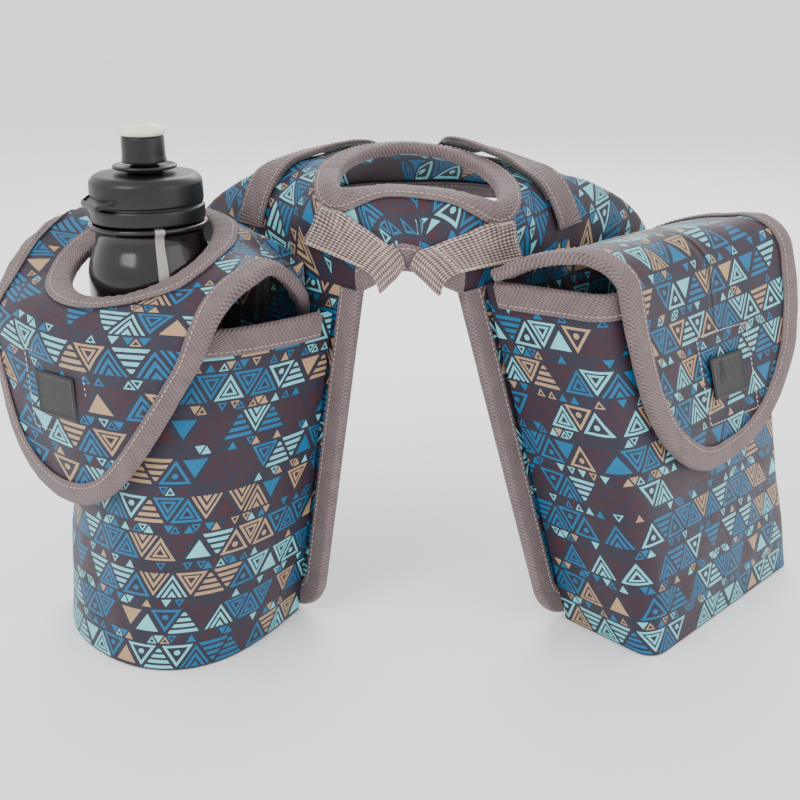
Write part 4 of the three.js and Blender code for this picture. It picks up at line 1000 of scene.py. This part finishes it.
LINES = [flap_line(mix(FLAP_START, FLAP_END, t)) for t in steps(FLAP_LINES)]
SURFACE = np.array([along_line(line, np.minimum(np.arange(DEPTH + 1), lengths(line)[-1])) for line in LINES])


def on_flap(f, d):
    """The point of the cloth at f and d mm from the hole."""
    a = clamp((f - FLAP_START) / (FLAP_END - FLAP_START), 0, 1) * FLAP_LINES
    b = clamp(d, 0, DEPTH - 1e-3)
    i, j = min(int(a), FLAP_LINES - 1), int(b)
    s = SURFACE
    return mix(mix(s[i, j], s[i, j + 1], b - j), mix(s[i + 1, j], s[i + 1, j + 1], b - j), a - i)


def flap_depth(f):
    line, edge, depth = flap_line(f), flap_edge(f), 0.0
    for j in range(1, len(line)):
        if line[j - 1][2] <= edge:
            break
        share = min(1, (line[j - 1][2] - edge) / max(line[j - 1][2] - line[j][2], 1e-6))
        depth += share * np.linalg.norm(line[j] - line[j - 1])
    return max(depth, 36 + 10 * arch_at(f) + 10 * smooth((f - 0.6) / 0.08))


def flap_stations(count):
    """Even stations of f and length along the flap's edge."""
    fine = np.linspace(0.1, 0.9, 241)
    depth = np.array([flap_depth(f) for f in fine])
    run = lengths(np.array([on_flap(f, d) for f, d in zip(fine, depth)]))
    stops = np.array(steps(count)) * run[-1]
    edge = np.stack([np.interp(stops, run, fine), np.interp(stops, run, depth)], -1)
    for _ in range(24):
        edge[1:-1] = (edge[:-2] + 2 * edge[1:-1] + edge[2:]) / 4
    return edge


def bottle_flap():
    wall_steps, root_steps, rows = 96, 26, 16
    ends = [left.point(38, FABRIC / 2 + 4.8, 206)] + ARCH
    arch_steps = 15
    columns = []
    for t in steps(arch_steps)[:-1]:
        foot = catmull(ends + [on_flap(0.1, flap_depth(0.1))], t)
        h = hole_at(foot)
        turn = mix(h, foot, 0.6)
        turn[2] = max(h[2], foot[2]) + 2
        columns.append(cut(bow(h, turn, foot), rows))
    edge = flap_stations(wall_steps)
    for i, (f, d) in enumerate(edge):
        (fa, da), (fb, db) = edge[max(i - 1, 0)], edge[min(i + 1, wall_steps)]
        span = np.linalg.norm(on_flap(f + 0.01, d) - on_flap(f - 0.01, d)) / 0.02
        way = unit([(fb - fa) * span, db - da])
        tape_in = np.array([way[1] / span, -way[0]])
        limit = np.array([f, d]) + TAPE_WIDTH * tape_in
        start = mix(f, 0.5, 0.4 * math.sin(math.pi * i / wall_steps))
        head = np.array([mix(start, limit[0], TAPE_WIDTH / limit[1]), TAPE_WIDTH])
        spots = [mix(np.array([start, 0]), head, t) for t in (0, 1 / 3, 2 / 3)]
        spots += [mix(head, limit, t) for t in steps(rows)]
        spots += [mix(limit, np.array([f, d]), t) for t in (1 / 3, 2 / 3, 1)]
        columns.append(np.array([on_flap(*spot) for spot in spots]))
    wall_steps += arch_steps
    for i in range(root_steps + 1):
        e = mix(left.width(SEAM_HEIGHT) - 18, 46, i / root_steps)
        root = left.point(e, FABRIC / 2 + 2.2, SEAM_HEIGHT + 10)
        h = hole_at(root)
        turn = mix(h, root, 0.62)
        turn[2] = max(h[2], SEAM_HEIGHT + 10) + 3
        columns.append(cut(bow(h, turn, root), rows))
    g = np.stack(columns, 1)
    for _ in range(2):
        s = (np.roll(g, 1, 1) + 2 * g + np.roll(g, -1, 1)) / 4
        g[1:-1, :] = s[1:-1, :]
        g[-1, 2:wall_steps - 1] = s[-1, 2:wall_steps - 1]
    n = upward(g, 2)
    for r in range(g.shape[0]):
        for c in range(g.shape[1]):
            k = clamp(min(r, g.shape[0] - 1 - r) / 5, 0.1, 1)
            p = g[r, c]
            g[r, c] = p + n[r, c] * (1.5 * wobble(p, 40, 10.0) + 0.6 * wobble(p, 15, 11.0)) * k
    n = upward(g, 2)
    # The cloth is laid out round the pocket, so the print keeps its size there
    ang = np.unwrap(np.arctan2(g[..., 1] - 25, g[..., 0] + 115), axis=1)
    uv = np.stack([-ang * 100, g[..., 2] - 0.75 * (np.hypot(g[..., 0] + 115, g[..., 1] - 25) - 100)], -1)
    sheet("bottle_flap", g, uv, n, [PRINT, LINING], closed=True)
    hole = slice(3, None, -1)
    tape("bottle_hole_binding", g[hole], n[hole], closed=True, pucker=0.45, seed=12.0)
    free = slice(0, wall_steps + 1)
    tape("bottle_flap_binding", g[-4:, free], n[-4:, free], seed=13.0, pucker=0.4)


bottle_flap()


# Patches
def tree_of(*names):
    """A search tree over the given pieces, in mm of the unshifted frame."""
    verts, polys = [], []
    for name in names:
        me = bpy.data.objects[name].data
        base = len(verts)
        verts += [tuple(np.array(v.co) * 1000 - SHIFT) for v in me.vertices]
        polys += [tuple(base + i for i in p.vertices) for p in me.polygons]
    return BVHTree.FromPolygons(verts, polys)


def project(tree, origin, direction):
    hit, normal, _, _ = tree.ray_cast(Vector(origin), Vector(direction))
    if hit is None:
        return None, None
    normal = np.array(normal)
    return np.array(hit), normal * (-1 if normal @ np.asarray(direction) > 0 else 1)


def face_grid(tree, at, size, direction):
    """Points and normals of a surface, cast from at(i, j) along the direction."""
    m, k = size
    g, n = np.zeros((m + 1, k + 1, 3)), np.zeros((m + 1, k + 1, 3))
    for i in range(m + 1):
        for j in range(k + 1):
            o = at(i / m, j / k)
            hit, nn = project(tree, o - direction * 40, direction)
            g[i, j] = o if hit is None else hit
            n[i, j] = -direction if nn is None else nn
    return g, n


LABEL_WIDTH, LABEL_HEIGHT = 34, 27
PATCH_SIZE, PATCH_THICK, PATCH_AWAY = 46, 1.2, 0.4


def label(name, tree, at, direction):
    """A bare rubber patch with a raised border."""
    across, up = 24, 20
    g, n = face_grid(tree, at, (across, up), direction)
    n = unit(n.mean((0, 1)))[None, None, :] * np.ones_like(g)
    lift = np.zeros(g.shape[:2])
    for i in range(across + 1):
        for j in range(up + 1):
            a = min(i, across - i) * LABEL_WIDTH / across
            b = min(j, up - j) * LABEL_HEIGHT / up
            d = min(a, b)
            lift[i, j] = 1.0 if d < 0.1 else (1.75 if d < 2.6 else 1.25)
    s = Shell()
    wide, high = np.linspace(0, LABEL_WIDTH, across + 1), np.linspace(0, LABEL_HEIGHT, up + 1)
    uv = np.stack(np.meshgrid(wide, high, indexing="ij"), -1)
    top, low = s.add(g + n * lift[..., None], uv), s.add(g + n * 0.1, uv)
    s.slab(top, low)
    s.build(name, [RUBBER], [name], sharp=25)


def box_stitch(name, tree, corners, direction):
    pts, nn = [], []
    for a, b in zip(corners, corners[1:] + corners[:1]):
        for t in steps(24)[:-1]:
            o = mix(a, b, t)
            hit, normal = project(tree, o - direction * 40, direction)
            if hit is not None:
                pts.append(hit)
                nn.append(normal)
    pts.append(pts[0])
    nn.append(nn[0])
    stitches(name, np.array(pts), np.array(nn), thread=PALE_THREAD, lift=0.15, width=0.6)


def patch(name, tree, at, direction):
    """A square of hook tape on a surface."""
    count = 16
    g, n = face_grid(tree, at, (count, count), direction)
    s = Shell()
    w = np.linspace(0, PATCH_SIZE, count + 1)
    uv = np.stack(np.meshgrid(w, w, indexing="ij"), -1)
    top, low = s.add(g + n * (PATCH_AWAY + PATCH_THICK), uv), s.add(g + n * PATCH_AWAY * 0.2, uv)
    s.slab(top, low)
    s.build(name, [HOOK], [name], sharp=40)


FLAP_FACE = LUNCH_DEPTH + WALL_OFF + FLAP_PROUD
flap_tree = tree_of("lunch_flap")
wall_tree = tree_of("lunch_pocket_wall")
inward = -right.w


def on_right(e0, e1, z0, z1, n=FLAP_FACE):
    return lambda i, j: right.point(mix(e0, e1, i), n + lunch_flare(mix(e0, e1, i)), mix(z0, z1, j))


label("lunch_flap_label", flap_tree, on_right(112, 146, 153, 180), inward)
BOX = ((103, 138), (155, 138), (155, 196), (103, 196))
box_stitch("lunch_label_box", flap_tree, [right.point(e, FLAP_FACE, z) for e, z in BOX], inward)
patch("lunch_flap_hook_patch", flap_tree, on_right(106, 150, 136, 180, FLAP_FACE - 60), -inward)
patch("lunch_pocket_loop_patch", wall_tree, on_right(108, 160, 138, 190), inward)

left_tree = tree_of("bottle_flap")
left_wall_tree = tree_of("bottle_pocket_wall")


def wall_at(f, z):
    return ring_at(np.array([left.point(e, n + WALL_OFF, z) for e, n in bottle_outline(z, 0)]), f)


def on_pocket(f0, f1, z0, z1, out=0):
    return lambda i, j: wall_at(mix(f0, f1, i), mix(z0, z1, j)) + DIR * out


FACE_F = 0.5
way = ring_at(flap_ring(170), FACE_F + 0.01) - ring_at(flap_ring(170), FACE_F - 0.01)
DIR = unit(np.cross(v3(0, 0, 1), way))
DIR = DIR if DIR @ left.w < 0 else -DIR
face_middle = ring_at(flap_ring(173.5), FACE_F)
face_side = unit(ring_at(flap_ring(172), FACE_F + 0.02) - ring_at(flap_ring(172), FACE_F - 0.02))


def on_face(a, b):
    return face_middle + face_side * a + v3(0, 0, b)


def label_spot(i, j):
    return on_face(mix(-17, 17, i), mix(-13.5, 13.5, j))


BOX = ((-25, -24), (25, -24), (25, 24), (-25, 24))
label("bottle_flap_label", left_tree, label_spot, DIR)
box_stitch("bottle_label_box", left_tree, [on_face(a, b) for a, b in BOX], DIR)
patch("bottle_flap_hook_patch", left_tree, on_pocket(0.42, 0.56, 146, 190, 30), -DIR)
patch("bottle_pocket_loop_patch", left_wall_tree, on_pocket(0.41, 0.59, 143, 193), DIR)


# Side mesh pocket
def mesh_pocket():
    def gusset(f, z, stand):
        o = lunch_outline(z, 0)
        a, b = o[-11], o[-1]
        return right.point(mix(a[0], b[0], f) + stand, mix(a[1], b[1], f) + WALL_OFF, z)

    def at(i, j):
        belly = 12 * math.sin(math.pi * i) * math.sin(math.pi / 2 * j)
        return gusset(mix(0.04, 0.86, i), mix(24, 150, j), FABRIC / 2 + 0.35 + 1.2 + belly)

    g = np.array([[at(i, j) for i in steps(28)] for j in steps(32)])
    n = normals_of(g)
    uv = np.stack(np.meshgrid(np.linspace(0, 126, 33), np.linspace(0, 66, 29), indexing="ij")[::-1], -1)
    for r in range(g.shape[0]):
        for c in range(g.shape[1]):
            g[r, c] += right.u * (0.5 * wobble(g[r, c], 17, 14.0))
    sheet("side_mesh_pocket", g, uv, n, [MESH_MAT, MESH_MAT], thick=0.8)
    rim = np.array([g[-1] + v3(0, 0, z) for z in (-4, -1, 3.4)])
    rn = np.repeat(n[-1:], 3, 0)
    ru = np.stack(np.meshgrid([0, 4, 8], np.linspace(0, 66, 29), indexing="ij")[::-1], -1)
    sheet("side_mesh_binding", rim, ru, rn, [BINDING, BINDING], thick=2.4)


mesh_pocket()


# Webbing
under = tree_of("yoke_panel", "throat_binding", "horn_hole_binding", "yoke_rear_binding")


def settle(p, distance):
    hit = under.find_nearest(Vector(p))[0]
    hit = np.array(hit)
    d = unit(np.asarray(p) - hit)
    return hit + d * distance


def drape(x, y):
    hit = under.ray_cast(Vector((x, y, 400)), Vector((0, 0, -1)))[0]
    return hit[2] if hit is not None else -1e9


def band(name, g, width, mat, thick):
    """A strip of webbing about the grid g; gives back its normals."""
    n = normals_of(g)
    d = lengths(g[:, g.shape[1] // 2])
    uv = np.stack(np.meshgrid(d, np.linspace(0, width, g.shape[1]), indexing="ij"), -1)
    sheet(name, g, uv, n, [mat, mat], thick=thick)
    return n


def webbing_tab(name, hand, near, far):
    front_out, side_out = v3(0, -0.95, 0.3), v3(hand * 0.72, -0.68, 0.12)
    rows = []
    for t in steps(20):
        row = []
        for f in steps(14):
            p = mix(mix(near[0], near[1], f), mix(far[0], far[1], f), t)
            row.append(settle(p + mix(front_out, side_out, t) * 14, 1.8))
        rows.append(row)
    g = np.array(rows)
    ahead = mix(near[0], near[1], 0.5) - mix(far[0], far[1], 0.5)
    ahead[2] = 0
    ahead = unit(ahead)
    one = np.array([settle(p + ahead * 6 - v3(0, 0, 4), 1.8) for p in g[0]])
    two = one + v3(0, -6, -5)
    head = [two, mix(two, one, 0.5), one, mix(one, g[0], 0.5)]
    g = np.concatenate([np.array(head), g])
    for _ in range(6):
        g[1:-1] = (g[:-2] + 2 * g[1:-1] + g[2:]) / 4
        g[:, 1:-1] = (g[:, :-2] + 2 * g[:, 1:-1] + g[:, 2:]) / 4
    n = band(name, g, 38, WEBBING, 1.8)
    if n[g.shape[0] // 2, 7] @ side_out < 0:
        n = -n
    # A stitched box over the far part
    r0, r1, c0, c1 = 7, g.shape[0] - 2, 1, g.shape[1] - 2
    path = [(r, c0) for r in range(r0, r1)] + [(r1, c) for c in range(c0, c1)]
    path += [(r, c1) for r in range(r1, r0, -1)] + [(r0, c) for c in range(c1, c0 - 1, -1)]
    pts = np.array([g[r, c] + n[r, c] * 1.15 for r, c in path])
    stitches(name + "_box", pts, np.array([n[r, c] for r, c in path]), pitch=3.0, thread=PALE_THREAD)


webbing_tab(
    "left_webbing_tab", -1, [v3(-4, -62, 257), v3(-22, -55, 239)], [v3(-44, -24, 276), v3(-58, -14, 249)]
)
webbing_tab(
    "right_webbing_tab", 1, [v3(13, -62, 257), v3(32, -57, 238)], [v3(64, -22, 266), v3(73, -14, 238)]
)


def tie_down(prefix, a, b, c):
    a, b, c = np.array(a, float), np.array(b, float), np.array(c, float)
    rows = []
    mids = [mix(mix(a, b, t), mix(b, c, t), t) for t in steps(36)]
    for i, p in enumerate(mids):
        t = i / 36
        d = unit(mids[min(i + 1, 36)] - mids[max(i - 1, 0)])
        w = np.array([d[1], -d[0]])
        end = clamp(min(t, 1 - t) / 0.1, 0, 1)
        lift = mix(1.4, 4.2 + 1.5 * math.sin(math.pi * t), end)
        row = []
        for f in steps(8):
            q = p + w * (f - 0.5) * 25
            row.append(settle(v3(q[0], q[1], max(drape(q[0], q[1]), 240) + 14), lift))
        rows.append(row)
    g = np.array(rows)
    for _ in range(3):
        g[1:-1] = (g[:-2] + 2 * g[1:-1] + g[2:]) / 4
    n = band(prefix + "_tie_strap", g, 25, STRAPPING, 1.4)
    if n[18, 4, 2] < 0:
        n = -n
    for c, tag in ((1, "a"), (7, "b")):
        stitches(prefix + "_strap_stitch_" + tag, g[1:-1, c] + n[1:-1, c] * 0.95, n[1:-1, c], pitch=3.2)
    h = g[4:-4] - n[4:-4] * 1.9
    band(prefix + "_hook_tape", h, 25, HOOK, 1.6)


tie_down("left", (-24, 94), (-50, 58), (-99, 22))
tie_down("right", (36, 94), (56, 44), (112, 20))


# Bottle
def smooth_profile(points, reach):
    """Rounds the corners of a closed profile."""
    out = []
    n = len(points)
    for i in range(n):
        a, b, c = (np.array(points[(i + k) % n], float) for k in (-1, 0, 1))
        if b[0] < 1e-6:
            out.append(b)
            continue
        la, lc = np.linalg.norm(a - b), np.linalg.norm(c - b)
        ra, rc = min(reach, la * 0.42), min(reach, lc * 0.42)
        p, q = b + (a - b) / la * ra, b + (c - b) / lc * rc
        for t in (0, 0.33, 0.67, 1):
            out.append((1 - t) ** 2 * p + 2 * t * (1 - t) * b + t * t * q)
    return out


def turned(name, profile, mat, body, reach, count=96):
    """A solid of revolution about the bottle's axis."""
    pts = smooth_profile(profile, reach)
    g = np.zeros((len(pts), count, 3))
    for r, (rad, z) in enumerate(pts):
        for c in range(count):
            a = c * TAU / count
            g[r, c] = (BOTTLE[0] + rad * math.cos(a), BOTTLE[1] + rad * math.sin(a), z)
    g = np.concatenate([g, g[:1]]) if profile[0][0] > 1e-6 else g
    uv = np.stack(np.meshgrid(np.arange(count) * 2.4, lengths(g[:, 0])), -1)
    s = Shell()
    ids = s.add(g, uv)
    s.faces(ids, 0, closed=True)
    s.build(name, [mat], [name], body=body, weld=True, sharp=50)


R, N, F = 37.5, 29.0, 35.0
H = 265.0
turned("bottle_body", [
    [0, 7.35], [R - 14, 7.35], [R - 11, 4.35], [R - 4, 4.35], [R, 9.35], [R, 112], [R - 3.5, 120],
    [R - 3.5, 136], [R, 144], [R, 236], [R - 1.5, 243], [F - 1, 248], [N + 2.6, 254], [N + 2.6, H - 4],
    [F, H - 3], [F, H], [N, H], [N, H + 13], [N - 2.5, H + 13], [N - 2.5, 250], [R - 1.5, 234],
    [R - 1.5, 146], [R - 5, 137], [R - 5, 119], [R - 1.5, 110], [R - 1.5, 11.35], [R - 6, 9.15],
    [0, 9.15],
], BOTTLE_MAT, "root", 5.0)
CAP0 = H + 0.6
CAP1 = CAP0 + 27
SEAL1 = H + 15.4
CR, POST, NECK, COLLAR = 33.0, 8.0, 10.4, 19.0
turned("bottle_cap", [
    [0, SEAL1 + 2.6], [4, SEAL1 + 2.6], [4, SEAL1 + 0.4], [N + 0.6, SEAL1 + 0.4], [N + 0.6, CAP0],
    [CR + 0.6, CAP0], [CR + 0.6, CAP0 + 8.6], [CR - 0.9, CAP0 + 9.4], [CR - 0.9, CAP0 + 10.3],
    [CR + 0.2, CAP0 + 11], [CR, CAP1 - 3.6], [CR - 3.4, CAP1], [NECK + 0.8, CAP1 + 0.5],
    [NECK, CAP1 + 1.2], [NECK, CAP1 + 2.6], [COLLAR - 0.8, CAP1 + 2.8], [COLLAR, CAP1 + 4],
    [COLLAR - 0.8, CAP1 + 5.2], [16, CAP1 + 4.9], [14.4, CAP1 + 4.2], [POST, CAP1 + 4.2],
    [POST, CAP1 + 20], [0, CAP1 + 20],
], CAP_MAT, "screw_cap", 1.6)


def cap_lug():
    """The lug on the cap's front left: a lip that slopes down, with a raised rim round a hollow."""
    def on_wall(degrees):
        a = math.radians(degrees)
        return v3((CR - 1.5) * math.cos(a), (CR - 1.5) * math.sin(a), CAP0 + 17)

    corners = [on_wall(-164), v3(-35.5, -16, CAP0 + 13.2), v3(-21, -38.5, CAP0 + 13.2), on_wall(-110)]
    line = []
    for a, b in zip(corners, corners[1:]):
        line += [mix(a, b, t) for t in steps(8)[:-1]]
    line = np.array(line + [corners[-1]])
    for _ in range(2):
        line[1:-1] = (line[:-2] + 4 * line[1:-1] + line[2:]) / 6
    middle = np.array([on_wall(mix(-164, -110, t)) for t in steps(24)])
    rings = []
    for inset, h in ((0.0, -2.6), (0.0, -0.5), (0.03, 0.0), (0.2, 0.0), (0.24, -1.1), (0.97, -1.1)):
        rings.append(mix(line, middle, inset) + v3(BOTTLE[0], BOTTLE[1], h))
    rings.append(rings[-1] + v3(0, 0, -1.5))
    rings.append(rings[0])
    s = Shell()
    g = np.array(rings)
    ids = s.add(g, g[..., :2])
    s.faces(ids, 0)
    s.build("cap_lug", [CAP_MAT], (), body="screw_cap", sharp=35)


cap_lug()
S, SLEEVE0, SLEEVE1, TIP_HOLE = 12.6, CAP1 + 6.4, CAP1 + 21.2, 5.0
turned("spout_sleeve", [
    [POST + 0.4, SLEEVE0], [S + 0.6, SLEEVE0], [S, SLEEVE0 + 4], [S - 0.2, SLEEVE1],
    [POST + 0.4, SLEEVE1],
], CAP_MAT, "spout", 0.9, 72)
turned("spout_tip", [
    [TIP_HOLE - 1, SLEEVE1 + 0.35], [S - 0.2, SLEEVE1 + 0.35], [S + 1.2, SLEEVE1 + 2.6],
    [S, SLEEVE1 + 4.8], [S - 4, SLEEVE1 + 6.9], [TIP_HOLE + 0.8, SLEEVE1 + 7.6], [TIP_HOLE, SLEEVE1 + 7],
    [TIP_HOLE - 1, SLEEVE1 + 4],
], TIP_MAT, "spout", 1.8, 72)
turned("cap_seal", [
    [N - 5, H + 13.4], [N - 0.4, H + 13.4], [N - 0.4, H + 15.4], [N - 5, H + 15.4],
], SEAL_MAT, "screw_cap_rise", 0.5, 72)


# Camera, floor, light
eye = (v3(0, -690, 395) + SHIFT) / 1000
cam = bpy.data.cameras.new("camera")
cam.sensor_width = 36
cam.lens = 36 * 1137 / 800
cam.clip_start = 0.01
co = bpy.data.objects.new("camera", cam)
co.location = eye
co.rotation_euler = (math.radians(70), 0, 0)
bpy.context.scene.collection.objects.link(co)
bpy.context.scene.camera = co

fm, b = new_material("floor", srgb(252, 252, 252), 0.9)
me = bpy.data.meshes.new("floor")
me.from_pydata([(-6, -6, -0.001), (6, -6, -0.001), (6, 6, -0.001), (-6, 6, -0.001)], [], [(0, 1, 2, 3)])
me.materials.append(fm)
floor = bpy.data.objects.new("floor", me)
bpy.context.scene.collection.objects.link(floor)

world = bpy.data.worlds.new("world")
world.use_nodes = True
world.node_tree.nodes["Background"].inputs[0].default_value = (1, 1, 1, 1)
world.node_tree.nodes["Background"].inputs[1].default_value = 1.5
bpy.context.scene.world = world


def area(name, at, target, size, power):
    data = bpy.data.lights.new(name, "AREA")
    data.size = size
    data.energy = power
    o = bpy.data.objects.new(name, data)
    o.location = at
    o.rotation_euler = (Vector(target) - Vector(at)).to_track_quat("-Z", "Y").to_euler()
    bpy.context.scene.collection.objects.link(o)


area("key", (-1.1, -1.3, 1.5), (0, 0, 0.15), 1.0, 22)
area("fill", (1.5, -0.9, 0.9), (0, 0, 0.12), 1.2, 8)
area("back", (0.2, 1.5, 1.4), (0, 0, 0.2), 1.2, 22)
